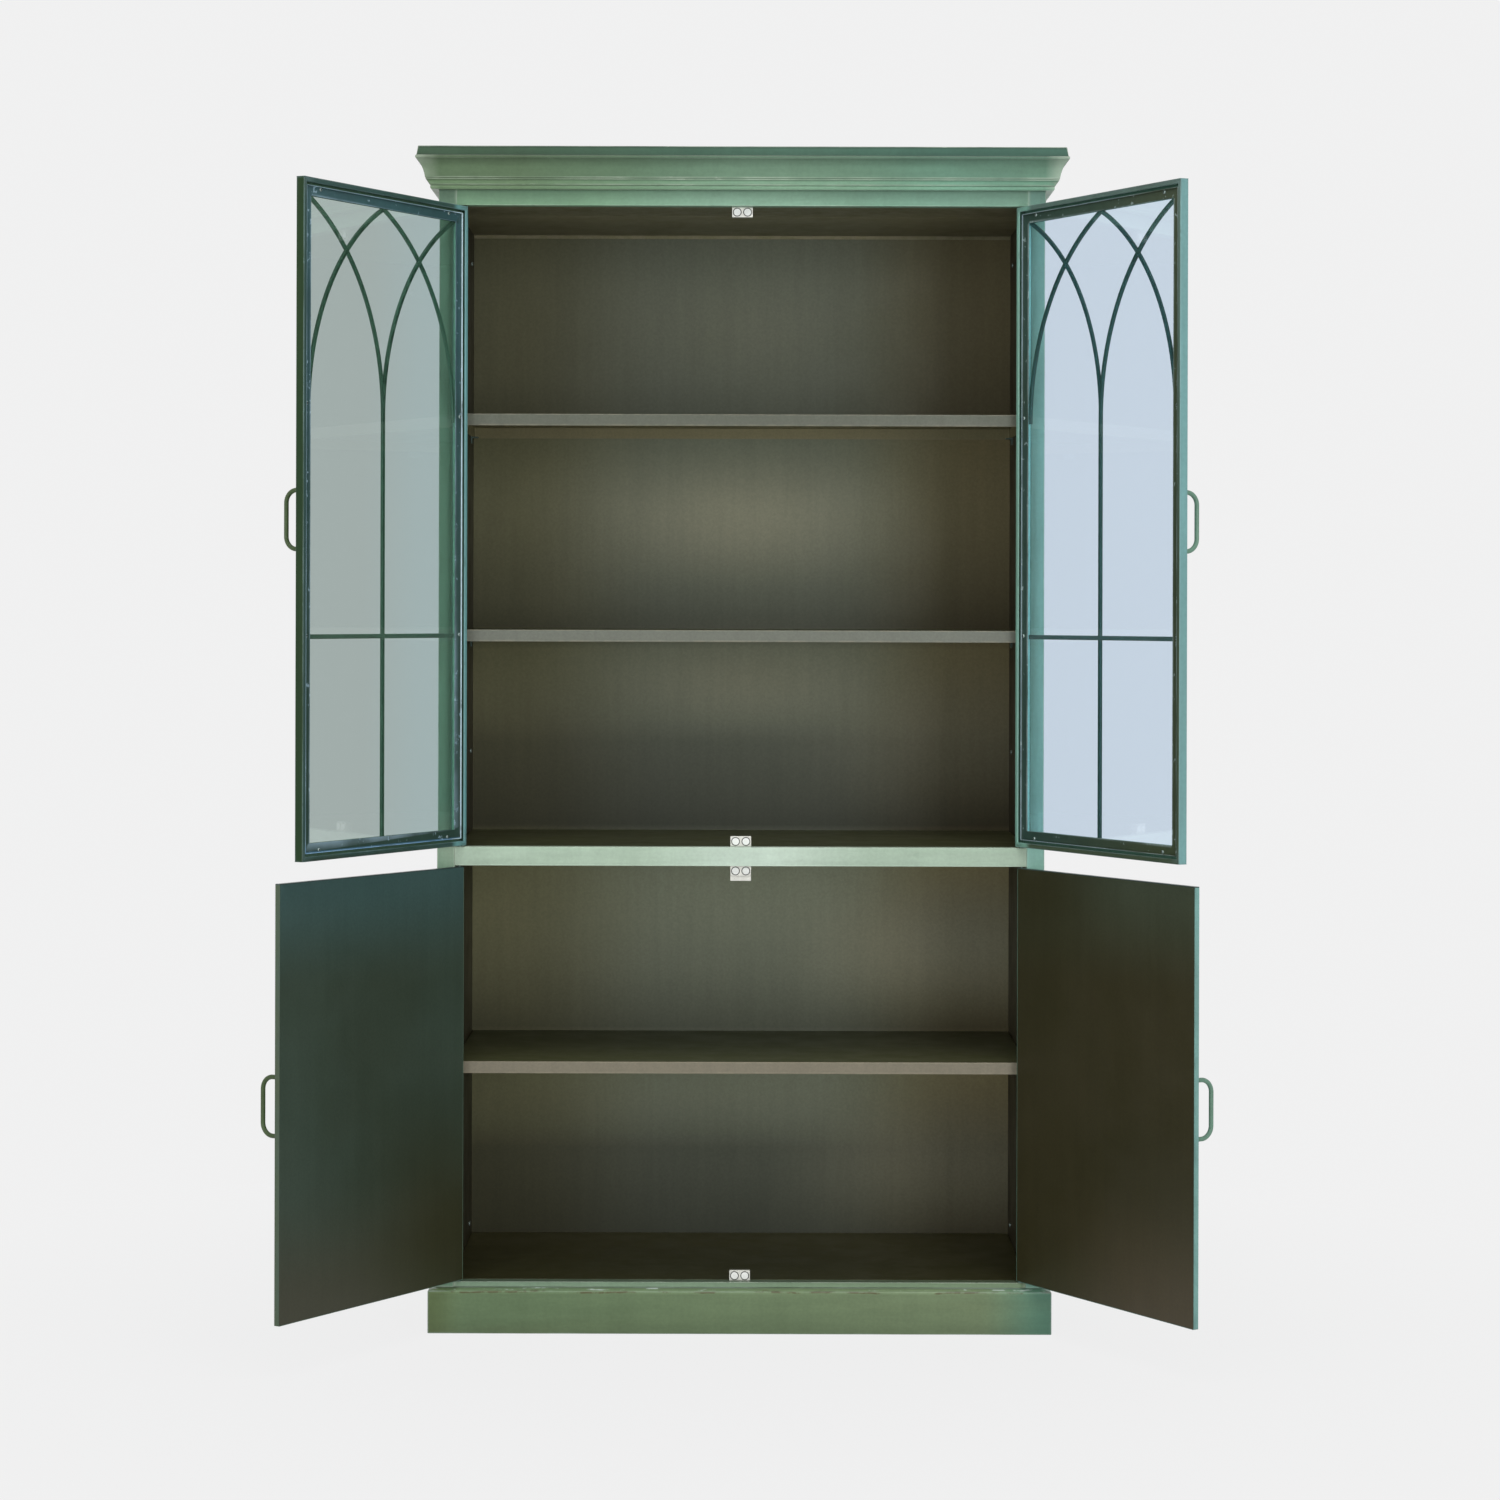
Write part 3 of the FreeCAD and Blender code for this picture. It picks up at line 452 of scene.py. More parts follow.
def bronze(name, warm, deep, gloss=0.42, light_patches=(), zones=(), bands=None, outside=(), seed=0.0):
    """Dark bronze lacquer over steel, cloudy and a little mirror-like, with painted light and
    shade.
    """
    r = Recipe(name)
    share = r.ramp(r.cloud(3.2, 3.0, 0.55, seed=seed), 0.32, 0.68, 0.2, 0.8)
    tone = r.zoned(r.blend(share, deep, warm), zones)
    # Painted light and shade along the height, then painted patches of light
    if bands:
        tone = r.banded(tone, bands, seed + 1)
    tone = r.zoned(r.painted_light_patches(tone, light_patches), outside)
    fine = r.ramp(r.cloud(240.0, 3.0, 0.6, seed=seed + 3), *NOISE_RANGE, 0.93, 1.07)
    brushed = r.ramp(r.cloud(1.0, 2.0, 0.6, r.stretch(60, 60, 3), seed + 4), *NOISE_RANGE,
                     0.965, 1.035)
    tone = r.shade(tone, fine, brushed)
    edge = r.add("ShaderNodeAttribute", {"attribute_name": "wear"}).outputs["Fac"]
    rubbed = r.maths("MULTIPLY", edge, r.ramp(r.cloud(40.0, 4.0, 0.7, seed=seed + 5),
                                              0.42, 0.6, 0.1, 0.4))
    tone = r.blend(rubbed, tone, BRIGHT_BRONZE)
    sheen = r.ramp(r.cloud(11.0, 4.0, 0.6, seed=seed + 6), *NOISE_RANGE, gloss - 0.06,
                   gloss + 0.06)
    skin = r.bump(r.cloud(700.0, 2.0, 0.5, seed=seed + 7), 0.03 * MM, 0.5)
    waves = r.bump(r.cloud(5.0, 2.0, 0.5, seed=seed + 8), 0.6 * MM, 0.4, skin)
    return r.done(Base_Color=tone, Roughness=sheen, Normal=waves,
                  Specular_IOR_Level=PAINT_SPECULAR)


GLASS_IOR = 1.5
MOST_SMEARED = 0.03


def pane(name, tint, hinge_tint=None, span=(0.0, 1.0)):
    """Clear float glass with a tint, a few smears and its mirror-like faces."""
    r = Recipe(name)
    smear = r.ramp(r.cloud(5.0, 4.0, 0.6, seed=3.0), 0.35, 0.75, 0.0, MOST_SMEARED)
    tone = r.blend(r.ramp(r.x, *span), tint, hinge_tint or tint)
    return r.done(Base_Color=tone, Roughness=smear, IOR=GLASS_IOR, Transmission_Weight=1.0)


def plain_finish(name, tone, rough, metal=0.0, grain=300.0, depth=0.04, spread=0.12):
    """A small fitting's finish: metal, rubber or ceramic with fine mottling."""
    r = Recipe(name)
    base = r.shade(tone, r.ramp(r.cloud(grain / 5, 4.0, 0.6), *NOISE_RANGE, 1 - spread,
                                1 + spread))
    sheen = r.ramp(r.cloud(grain / 3, 3.0, 0.6, seed=1.0), *NOISE_RANGE, rough - 0.05,
                   rough + 0.08)
    skin = r.bump(r.cloud(grain * 4, 2.0, 0.5, seed=2.0), depth * MM, 0.5)
    return r.done(Base_Color=base, Roughness=sheen, Metallic=metal, Normal=skin)


# Painted light and shade along the height: one or two levels for each moulding, at the
# heights where one moulding ends and the next begins, and light, middle and dark for each bay
# of the back, lit near its top and shaded lower down.
CORNICE_PAINTED_SHADING = ((1.9295, 0.75), (1.9365, 0.65), (1.9410, 0.90), (1.9450, 0.50), (1.9480, 0.50),
                 (1.9650, 0.55), (1.9790, 0.35), (1.9815, 0.40), (1.9840, 0.20), (1.9950, 0.25),
                 (2.0000, 0.10))
FRIEZE_PAINTED_SHADING = ((1.9035, 0.95), (1.9060, 0.80), (1.9240, 0.70), (1.9295, 0.45))
STILE_PAINTED_SHADING = ((1.8950, 1.00), (1.9060, 0.65), (1.9240, 0.65), (1.9295, 0.45))
RAIL_PAINTED_SHADING = ((0.7880, 1.00), (0.7910, 0.80), (0.8200, 0.85))
BASE_RAIL_PAINTED_SHADING = ((0.0765, 0.40), (0.0780, 0.95), (0.0840, 0.80), (0.0855, 0.40))
PLINTH_PAINTED_SHADING = ((0.0, 0.50), (0.0350, 0.60), (0.0660, 0.65), (0.0730, 0.95), (0.0765, 0.45))
BACK_PAINTED_SHADING = ((0.0855, 0.15), (0.24, 0.25), (0.38, 1.00), (0.46, 0.25), (0.60, 0.50),
              (0.76, 1.00), (0.83, 0.15), (0.98, 0.25), (1.15, 0.70), (1.19, 0.25),
              (1.36, 0.45), (1.54, 0.60), (1.58, 0.30), (1.74, 0.35), (1.90, 0.35))

# How the doors hang, in millimetres and degrees
PIVOT_OUT = 475.0
PIVOT_IN = 4.0
UPPER_ANGLE = 118.2
LOWER_ANGLES = {"left": 122.9, "right": 121.3}
SIDES = {"left": -1, "right": 1}
UPPER_LEFT, UPPER_RIGHT = (-1, UPPER_ANGLE), (1, UPPER_ANGLE)
LOWER_LEFT, LOWER_RIGHT = (-1, LOWER_ANGLES["left"]), (1, LOWER_ANGLES["right"])

# Where some tones of a door start and are full, in metres from its pivot
FREE_EDGE = (0.4722, 0.4730)
RIM = (0.0084, 0.0088)
LEG_TOP = (0.0060, 0.0072)
HINGE_SIDE = (0.045, 0.025)
PAN_TOP = (0.7841, 0.7848)
MEMBERS = ("hinge_stile", "meeting_stile", "top_rail", "bottom_rail")

DOOR_NICK = colour(110, 135, 135)
PAN_NICK = colour(70, 90, 90)

# The cornice, frieze, mid rail and stiles carry painted patches of light, and the mid rail is
# painted paler all over for the light it reflects. The cornice's tints make its crown a little
# bluer and lift its top face back from its darkest band.
cornice_paint = aged_paint(
    "cornice_paint", colour(122, 150, 113), colour(133, 181, 155), patches=0.2, grain=ALONG,
    bands=CORNICE_PAINTED_SHADING, wear=0.3, light_patches=((-0.25, 0.35, 1.8, 2.1, 0.8, colour(146, 184, 154)),),
    tints=(((0.78, 1.02, 1.05), ("z", 1.9838, 1.9848)),
           ((4.5, 4.5, 4.5), ("z", 1.99960, 1.99995))), seed=1.0)
frieze_paint = aged_paint(
    "frieze_paint", colour(126, 164, 132), colour(124, 164, 143), patches=0.15, grain=ALONG,
    bands=FRIEZE_PAINTED_SHADING, light_patches=((-0.3, 0.3, 1.8, 2.0, 0.9, colour(143, 180, 156)),), seed=2.0)
rail_paint = aged_paint(
    "mid_rail_paint", colour(186, 207, 185), colour(176, 197, 176), colour(164, 190, 170),
    gloss=0.32, patches=0.2, grain=ALONG, bands=RAIL_PAINTED_SHADING, wear=0.3,
    light_patches=((-0.2, 0.25, 0.7, 0.9, 0.95, colour(209, 227, 211)),), seed=3.0)
stile_paint = aged_paint(
    "stile_paint", colour(118, 150, 126), colour(128, 172, 156), patches=0.2, grain=UPRIGHT,
    bands=STILE_PAINTED_SHADING, light_patches=((-0.56, -0.41, 0.745, 0.91, 1.0, colour(150, 172, 150)),
                             (0.41, 0.56, 0.745, 0.91, 1.0, colour(146, 192, 180))), seed=4.0)
base_paint = aged_paint(
    "plinth_paint", colour(122, 147, 108), colour(136, 156, 118), colour(128, 130, 92),
    colour(180, 196, 190), patches=0.3, grain=ALONG, bands=PLINTH_PAINTED_SHADING, wear=0.5,
    zones=((colour(108, 156, 132), ("x", 0.40, 0.52)),
           (colour(118, 138, 92), ("x", -0.46, -0.52))),
    stains=((0.0705, 0.0028, 0.46, colour(82, 66, 38)),
            (0.0740, 0.0012, 0.52, colour(206, 220, 214))), seed=5.0)
base_rail_paint = aged_paint(
    "bottom_rail_paint", colour(135, 161, 136), colour(126, 148, 117), colour(92, 110, 84),
    grain=ALONG, bands=BASE_RAIL_PAINTED_SHADING, patches=0.2, wear=0.6, seed=6.0)
side_paint = aged_paint("side_paint", colour(92, 126, 102), colour(84, 130, 110),
                        grain=UPRIGHT, patches=0.3, seed=7.0)
# The upper doors carry painted light and shade: the free edge's end face is dark on the left door
# and light on the right, and the rim is painted lighter along the hinge side.
left_door_paint = aged_paint(
    "left_door_paint", colour(92, 126, 104), nick=DOOR_NICK, patches=0.2, grain=UPRIGHT,
    door=UPPER_LEFT, seed=8.0,
    zones=((colour(46, 72, 68), ("y", *RIM)),
           (colour(100, 150, 150), ("y", *RIM), ("x", *HINGE_SIDE)),
           (colour(20, 50, 18), ("x", *FREE_EDGE))))
right_door_paint = aged_paint(
    "right_door_paint", colour(96, 138, 120), nick=DOOR_NICK, patches=0.2, grain=UPRIGHT,
    door=UPPER_RIGHT, seed=9.0,
    zones=((colour(62, 76, 58), ("y", *RIM)),
           (colour(86, 108, 100), ("y", *RIM), ("z", 1.2, 1.85)),
           (colour(116, 160, 144), ("y", *RIM), ("x", *HINGE_SIDE)),
           (colour(110, 153, 153), ("x", *FREE_EDGE))))
# The beads carry painted highlights: the top of the bead's leg is light blue, near white towards
# the left door's hinge side, and the left door's bottom bead is light blue.
left_bead_paint = aged_paint(
    "left_bead_paint", colour(44, 68, 60), colour(42, 64, 56), colour(34, 48, 40),
    colour(176, 206, 224), patches=0.5, door=UPPER_LEFT, span=DOOR, wear=0.8, specks=0.64,
    seed=10.0,
    zones=((colour(52, 82, 86), ("z", 1.05, 1.85)),
           (colour(92, 136, 166), ("z", 0.8375, 0.8350)),
           (colour(109, 138, 145), ("y", *LEG_TOP)),
           (colour(100, 150, 190), ("y", *LEG_TOP), ("z", 0.86, 0.84)),
           (colour(206, 230, 236), ("y", *LEG_TOP), ("x", *HINGE_SIDE))))
right_bead_paint = aged_paint(
    "right_bead_paint", colour(48, 70, 64), colour(60, 70, 50), colour(44, 56, 38),
    colour(170, 190, 190), patches=0.4, door=UPPER_RIGHT, span=DOOR, wear=0.7, specks=0.65,
    seed=11.0,
    zones=((colour(110, 130, 140), ("y", *LEG_TOP), ("x", 0.40, 0.20)),))
# The left door's bars are painted lighter than the right door's to make up for the shade they
# stand in: painted light.
tracery_paint = aged_paint(
    "tracery_paint", colour(82, 116, 96), colour(50, 82, 74), colour(38, 54, 44),
    colour(120, 165, 155), patches=0.3, span=(-0.4, 0.4), seed=12.0)
# The lower doors carry painted light and shade: the free edge's end face is darker on the left
# door and light on the right, and the top face under the mid rail is painted dark.
left_pan_paint = aged_paint(
    "left_pan_paint", colour(98, 126, 104), colour(96, 124, 100), nick=PAN_NICK, grain=UPRIGHT,
    patches=0.3, wear=0.2, span=DOOR, door=LOWER_LEFT, seed=13.0,
    zones=((colour(74, 90, 70), ("x", *FREE_EDGE)),
           (colour(40, 56, 58), ("z", *PAN_TOP))))
right_pan_paint = aged_paint(
    "right_pan_paint", colour(104, 146, 128), nick=PAN_NICK, grain=UPRIGHT, patches=0.3,
    wear=0.2, door=LOWER_RIGHT, seed=14.0,
    zones=((colour(122, 168, 162), ("x", *FREE_EDGE)),
           (colour(40, 56, 56), ("z", *PAN_TOP))))
left_handle_paint = aged_paint("left_handle_paint", colour(74, 92, 58), colour(62, 80, 52),
                               colour(46, 52, 34), colour(150, 165, 130), seed=15.0)
right_handle_paint = aged_paint("right_handle_paint", colour(92, 124, 104),
                                colour(104, 138, 120), colour(64, 74, 48),
                                colour(170, 190, 165), seed=16.0)

# Painted patches of reflected light on the back: from x, to x, from z, to z, how strong
BACK_PAINTED_LIGHT = [(*patch, colour(150, 148, 124)) for patch in (
    (-0.36, 0.36, 1.60, 1.86, 0.10), (-0.42, 0.42, 1.24, 1.54, 0.65),
    (-0.36, 0.36, 0.98, 1.22, 0.45), (0.02, 0.80, 0.80, 1.20, 0.30),
    (0.02, 0.80, 0.44, 0.80, 0.90), (0.02, 0.80, 0.02, 0.42, 0.50))]
# The back's middle and right side are painted lighter, and each bay runs from light at its top to
# dark lower down: painted light and shade
back_bronze = bronze("back_bronze", colour(166, 164, 122), colour(148, 148, 110),
                     light_patches=BACK_PAINTED_LIGHT, bands=BACK_PAINTED_SHADING, seed=21.0,
                     zones=((colour(158, 165, 140), ("x", -0.42, -0.12), ("x", 0.42, 0.12)),
                            (colour(172, 160, 116), ("x", 0.20, 0.45))),
                     outside=((colour(84, 92, 72), ("y", 0.4818, 0.4822)),))
# The whole inside is one bronze lacquer: the liners, ceilings, deck, floor, shelves and back get
# lighter or darker tones for the light each part gets, so these tones are painted light and
# shade.
liner_bronze = bronze("liner_bronze", colour(64, 58, 42), colour(48, 46, 32), seed=22.0)
ceiling_bronze = bronze("ceiling_bronze", colour(126, 122, 90), colour(114, 112, 80),
                        zones=((colour(86, 86, 58), ("y", 0.20, 0.10)),), seed=27.0)
under_bronze = bronze("lower_ceiling_bronze", colour(150, 148, 112), colour(140, 138, 104),
                      seed=29.0)
deck_bronze = bronze("deck_bronze", colour(58, 60, 36), colour(50, 52, 30), gloss=0.38,
                     zones=((colour(104, 106, 72), ("y", 0.06, 0.46)),), seed=24.0)
floor_bronze = bronze("floor_bronze", colour(46, 45, 22), colour(42, 41, 19), gloss=0.38,
                      zones=((colour(86, 82, 48), ("y", 0.10, 0.47)),), seed=28.0)
# Each shelf's front edge gets its own tone for the light at its height, and each shelf's top a
# darker tone for the dark back it reflects: painted light, shade and reflection.
SHELF_EDGES = {"upper": colour(92, 95, 84), "middle": colour(106, 109, 99),
               "lower": colour(124, 118, 102)}
# How far below a shelf's top its top tone starts and is full, and the same behind its edge
SHELF_TOP_SKIN = (0.5 * MM, 0.2 * MM)
SHELF_EDGE_SKIN = (2.2 * MM, 1.0 * MM)
shelf_bronzes = {}
for number, (level, edge) in enumerate(SHELF_EDGES.items()):
    low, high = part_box("shelf_" + level)
    shelf_bronzes["shelf_" + level] = bronze(
        f"shelf_{level}_bronze", colour(142, 136, 102), colour(134, 128, 96), gloss=0.4,
        zones=((colour(66, 68, 42), ("z", *(high.z - skin for skin in SHELF_TOP_SKIN))),
               (edge, ("y", *(low.y + skin for skin in SHELF_EDGE_SKIN)))), seed=40.0 + number)
# The two lower doors' insides are one bronze, given different tones and zones for the light each
# gets: painted light and shade.
left_liner_bronze = bronze(
    "left_door_bronze", colour(58, 72, 62), colour(49, 59, 47), gloss=0.38, seed=25.0,
    zones=((colour(58, 82, 80), ("z", 0.60, 0.80)), (colour(57, 58, 43), ("z", 0.30, 0.10)),
           (colour(50, 51, 33), ("z", 0.45, 0.15), ("x", -0.66, -0.50))))
right_liner_bronze = bronze(
    "right_door_bronze", colour(58, 54, 36), colour(50, 48, 30), gloss=0.38, seed=26.0,
    zones=((colour(64, 71, 56), ("z", 0.60, 0.80)), (colour(66, 58, 39), ("z", 0.30, 0.10)),
           (colour(50, 47, 28), ("z", 0.45, 0.15), ("x", 0.66, 0.50)),
           (colour(50, 49, 31), ("z", 0.55, 0.75), ("x", 0.64, 0.50))))
# The two panes are one glass: the left is tinted darker and greener, bluer towards its hinge, and
# the right paler and bluer, for the light and reflections each shows: painted light and
# reflection.
left_glass = pane("left_pane_glass", (0.47, 0.55, 0.53), (0.47, 0.585, 0.585), (-0.62, -0.52))
right_glass = pane("right_pane_glass", (0.74, 0.86, 0.99))
# The gaskets are painted light green, the colour of the lit frame edge seen along the glass:
# painted light.
left_gasket = plain_finish("left_gasket", colour(130, 180, 155), 0.5, grain=400.0, depth=0.06)
right_gasket = plain_finish("right_gasket", colour(140, 200, 190), 0.5, grain=400.0, depth=0.06)
dull_zinc = plain_finish("dull_zinc", colour(96, 116, 110), 0.45, metal=0.6)
screw_zinc = plain_finish("screw_zinc", colour(150, 168, 164), 0.4, metal=0.6)
# The screw recesses are painted near black for the shade inside them: painted shade.
dark_recess = plain_finish("dark_recess", colour(16, 20, 18), 0.6)
rubber = plain_finish("black_rubber", colour(24, 26, 26), 0.6, grain=500.0, depth=0.08)
catch_metal = plain_finish("catch_plate", colour(214, 214, 206), 0.32, metal=0.7)
ferrite = plain_finish("white_magnet", colour(235, 236, 232), 0.35, spread=0.04)

finishes = {
    "cornice_front": cornice_paint, "frieze_rail": frieze_paint, "mid_rail": rail_paint,
    "bottom_rail": base_rail_paint, "plinth_front": base_paint, "plinth_back": base_paint,
    "back_panel": back_bronze, "floor_panel": floor_bronze, "centre_deck": deck_bronze,
    "lower_ceiling": under_bronze, "ceiling_panel": ceiling_bronze,
    "catch_magnets": ferrite, "liner_screws": screw_zinc, **shelf_bronzes,
}
# Pieces with a left and a right one, and their finishes
for kind, *pair in [
        ("cornice_", cornice_paint, cornice_paint), ("plinth_", base_paint, base_paint),
        ("stile_", stile_paint, stile_paint), ("side_liner_", liner_bronze, liner_bronze),
        ("lower_door_liner_", left_liner_bronze, right_liner_bronze),
        ("lower_door_pan_", left_pan_paint, right_pan_paint),
        ("door_glass_", left_glass, right_glass),
        ("door_tracery_", tracery_paint, tracery_paint),
        ("glazing_bead_", left_bead_paint, right_bead_paint),
        ("glazing_gasket_", left_gasket, right_gasket),
        ("bead_screws_", screw_zinc, screw_zinc),
        ("upper_handle_", left_handle_paint, right_handle_paint),
        ("lower_handle_", left_handle_paint, right_handle_paint),
        *((f"door_{member}_", left_door_paint, right_door_paint) for member in MEMBERS)]:
    for side, finish in zip(SIDES, pair):
        finishes[kind + side] = finish
SLOT_FINISHES = {"zinc_steel": dull_zinc, "catch_steel": catch_metal}
for name, slot in slots.items():
    finishes.setdefault(name, SLOT_FINISHES.get(slot, side_paint))
for name, node in nodes.items():
    node.data.materials.clear()
    node.data.materials.append(finishes[name])
# Light passes the panes without a shadow
for side in SIDES:
    nodes["door_glass_" + side].visible_shadow = False


# Folded sheet: mouldings, face frame, shelves and doors

for name in ("cornice_front", "cornice_left", "cornice_right", "plinth_front", "plinth_left",
             "plinth_right", "plinth_back", "side_panel_left", "side_panel_right",
             "shelf_upper", "shelf_middle", "shelf_lower", "centre_deck", "floor_panel",
             "lower_door_pan_left", "lower_door_pan_right", "glazing_bead_left",
             "glazing_bead_right",
             *(f"door_{member}_{side}" for side in SIDES for member in MEMBERS)):
    form_sheet(name, finishes[name])
under_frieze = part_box("frieze_rail")[0].z
for hand, side in SIDES.items():
    name = "stile_" + hand
    low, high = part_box(name)
    inner = high.x if side < 0 else low.x
    form_sheet(name, finishes[name], cut_level=under_frieze, flush=lambda edge: (
        at_ends(edge, 2, low.z, high.z) or at_ends(edge, 0, inner, inner)
        and all(vert.co.z > under_frieze - 2 * NEAR_PLANE for vert in edge.verts)))
for name in ("bottom_rail", "mid_rail", "frieze_rail"):
    low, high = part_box(name)
    form_sheet(name, finishes[name], fold=RAIL_FOLD,
               flush=lambda edge: at_ends(edge, 0, low.x, high.x))
for name in ("catch_top", "catch_deck", "catch_rail", "catch_floor"):
    form_sheet(name, finishes[name], fold=CATCH_FOLD)


# Door fittings, drawn on the closed door about its pivot, in millimetres

DOOR_WIDTH = 477.5
DOOR_FACE = -4.0
WELDED = 0.001


def hang(bm, side, angle):
    """Bring a door's drawing to metres and to where the open door stands."""
    place = (Matrix.Translation((side * PIVOT_OUT * MM, PIVOT_IN * MM, 0))
             @ Matrix.Rotation(math.radians(side * angle), 4, "Z") @ Matrix.Scale(MM, 4))
    bmesh.ops.transform(bm, matrix=place, verts=bm.verts)


def ring(bm, place, radius, steps=16):
    """Start a bar with an open ring of points and return its edges."""
    made = bmesh.ops.create_circle(bm, segments=steps, radius=1.0, cap_ends=False,
                                   matrix=place @ Matrix.Diagonal((radius, radius, 1.0, 1.0)))
    return list({edge for vert in made["verts"] for edge in vert.link_edges})


def run_on(bm, edges, move=(0, 0, 0), scale=None):
    """Extrude an open ring along a straight run and return its new end."""
    made = bmesh.ops.extrude_edge_only(bm, edges=edges)["geom"]
    verts = [part for part in made if isinstance(part, bmesh.types.BMVert)]
    if scale is not None:
        centre = sum((vert.co for vert in verts), Vector()) / len(verts)
        bmesh.ops.scale(bm, vec=scale, verts=verts, space=Matrix.Translation(-centre))
    bmesh.ops.translate(bm, vec=move, verts=verts)
    return [part for part in made if isinstance(part, bmesh.types.BMEdge)
            and all(vert in verts for vert in part.verts)]


def bend_on(bm, edges, centre, axis, turn, steps):
    """Turn an open ring round a bend and return its new end."""
    verts = list({vert for edge in edges for vert in edge.verts})
    made = bmesh.ops.spin(bm, geom=verts + edges, cent=centre, axis=axis, dvec=(0, 0, 0),
                          angle=math.radians(turn), space=Matrix.Identity(4), steps=steps,
                          use_merge=False, use_normal_flip=False, use_duplicate=False)
    return [part for part in made["geom_last"] if isinstance(part, bmesh.types.BMEdge)]


def close_up(bm):
    """Merge doubles, cap the open ends and turn every face outwards."""
    bmesh.ops.remove_doubles(bm, verts=bm.verts, dist=WELDED)
    open_edges = [edge for edge in bm.edges if len(edge.link_faces) == 1]
    if open_edges:
        bmesh.ops.holes_fill(bm, edges=open_edges)
    bmesh.ops.recalc_face_normals(bm, faces=bm.faces)
    if bm.calc_volume(signed=True) < 0:
        bmesh.ops.reverse_faces(bm, faces=bm.faces)


def cut_off(bm, point, away):
    """Cut away everything past a plane and close the cut."""
    edges = [part for part in cut(bm, point, away, WELDED, clear_past=True)
             if isinstance(part, bmesh.types.BMEdge)]
    if edges:
        bmesh.ops.holes_fill(bm, edges=edges)


GLASS_LOW, GLASS_HIGH = 850.0, 1873.5
GLASS_HINGE, GLASS_MEETING = 24.0, 445.5
MULLION = (GLASS_HINGE + GLASS_MEETING) / 2
ARC_RADIUS = 377.24
SPRING = 1535.0
ARC_TURN = 66.0
ARC_STEPS = 40
TRANSOM = 1176.5
BAR_WIDTH = 7.5
BAR_CORNER = 1.3
# Where the middle of a bar lies over the pane, and how deep the bar is
OVER_BAR = (-1.5, 5.0)
UNDER_BAR = (-1.75, 4.5)


def bar_section(bm, place, width, depth):
    """Start a flat bar with an open section whose corners are rounded."""
    made = bmesh.ops.create_circle(
        bm, segments=4, radius=math.sqrt(0.5), cap_ends=False,
        matrix=place @ Matrix.Diagonal((width, depth, 1.0, 1.0))
        @ Matrix.Rotation(math.radians(45), 4, "Z"))
    bmesh.ops.bevel(bm, geom=made["verts"], offset=BAR_CORNER, offset_type="OFFSET", segments=4,
                    profile=0.5, material=-1, affect="VERTICES")
    return bm.edges[:]


def make_tracery(name):
    """Flat bars with soft corners: four arcs, over and under, a mullion and a transom."""
    side = SIDES[name]
    bm = bmesh.new()
    for foot, lean in ((GLASS_HINGE, 1), (GLASS_MEETING, -1), (MULLION, 1), (MULLION, -1)):
        arc = bmesh.new()
        middle, depth = OVER_BAR if lean == side else UNDER_BAR
        start = bar_section(arc, Matrix.Translation((foot, middle, SPRING)), BAR_WIDTH, depth)
        bend_on(arc, start, (foot + lean * ARC_RADIUS, 0, SPRING), (0, 1, 0),
                lean * ARC_TURN, ARC_STEPS)
        close_up(arc)
        cut_off(arc, (0, 0, GLASS_HIGH), (0, 0, 1))
        cut_off(arc, (GLASS_HINGE, 0, 0), (-1, 0, 0))
        cut_off(arc, (GLASS_MEETING, 0, 0), (1, 0, 0))
        close_up(arc)
        join(bm, arc)
    for start, run, place, (middle, depth) in (
            ((MULLION, 0, GLASS_LOW), (0, 0, SPRING - GLASS_LOW), Matrix(), OVER_BAR),
            ((GLASS_HINGE, 0, TRANSOM), (GLASS_MEETING - GLASS_HINGE, 0, 0),
             Matrix.Rotation(math.radians(90), 4, "Y"), UNDER_BAR)):
        bar = bmesh.new()
        place = Matrix.Translation((start[0], middle, start[2])) @ place
        run_on(bar, bar_section(bar, place, BAR_WIDTH, depth), run)
        close_up(bar)
        join(bm, bar)
    bmesh.ops.scale(bm, vec=(-side, 1, 1), verts=bm.verts)
    if side > 0:
        bmesh.ops.reverse_faces(bm, faces=bm.faces)
    hang(bm, side, UPPER_ANGLE)
    node = f"door_tracery_{name}"
    finish_piece(bm, "soft_bar_tracery_" + name, node, finishes[node])


def join(bm, other):
    """Add one worked mesh to another."""
    mesh = bpy.data.meshes.new("joined")
    other.to_mesh(mesh)
    other.free()
    bm.from_mesh(mesh)
    bpy.data.meshes.remove(mesh)


QUARTER = Matrix.Rotation(math.radians(90), 4, "X")


def block(bm, centre, sizes):
    """Add a box."""
    bmesh.ops.create_cube(bm, size=1.0, matrix=Matrix.Translation(centre)
                          @ Matrix.Diagonal((*sizes, 1)))


WIRE = 3.75
HALF_CENTRES = 46.75
HANDLE_REACH = 34.25
HANDLE_BEND = 20.0
BEND_STEPS = 12
# The wire and its collars start inside the foot, this far out from the door's face
WIRE_START = 1.0
COLLAR = WIRE + 2
# How far each step of a weld collar comes out, and to what share it narrows
COLLAR_STEPS = ((2.0, 1.0), (0.8, 0.86), (1.2, 0.78))
FOOT_HALF_WIDTH = 6.5
FOOT_PAST = 17.9
FOOT_THICK = 3.0
COLLAR_SIDES, HEAD_SIDES, MAGNET_SIDES = 20, 24, 40
TIP_ROUND, ROOT_ROUND, RIM_ROUND = 6.3, 3.0, 1.1
# How far a handle stands from the free edge, and the height of its middle
UPPER_HANDLE = (24.0, 1361.75)
LOWER_HANDLE = (13.0, 432.0)


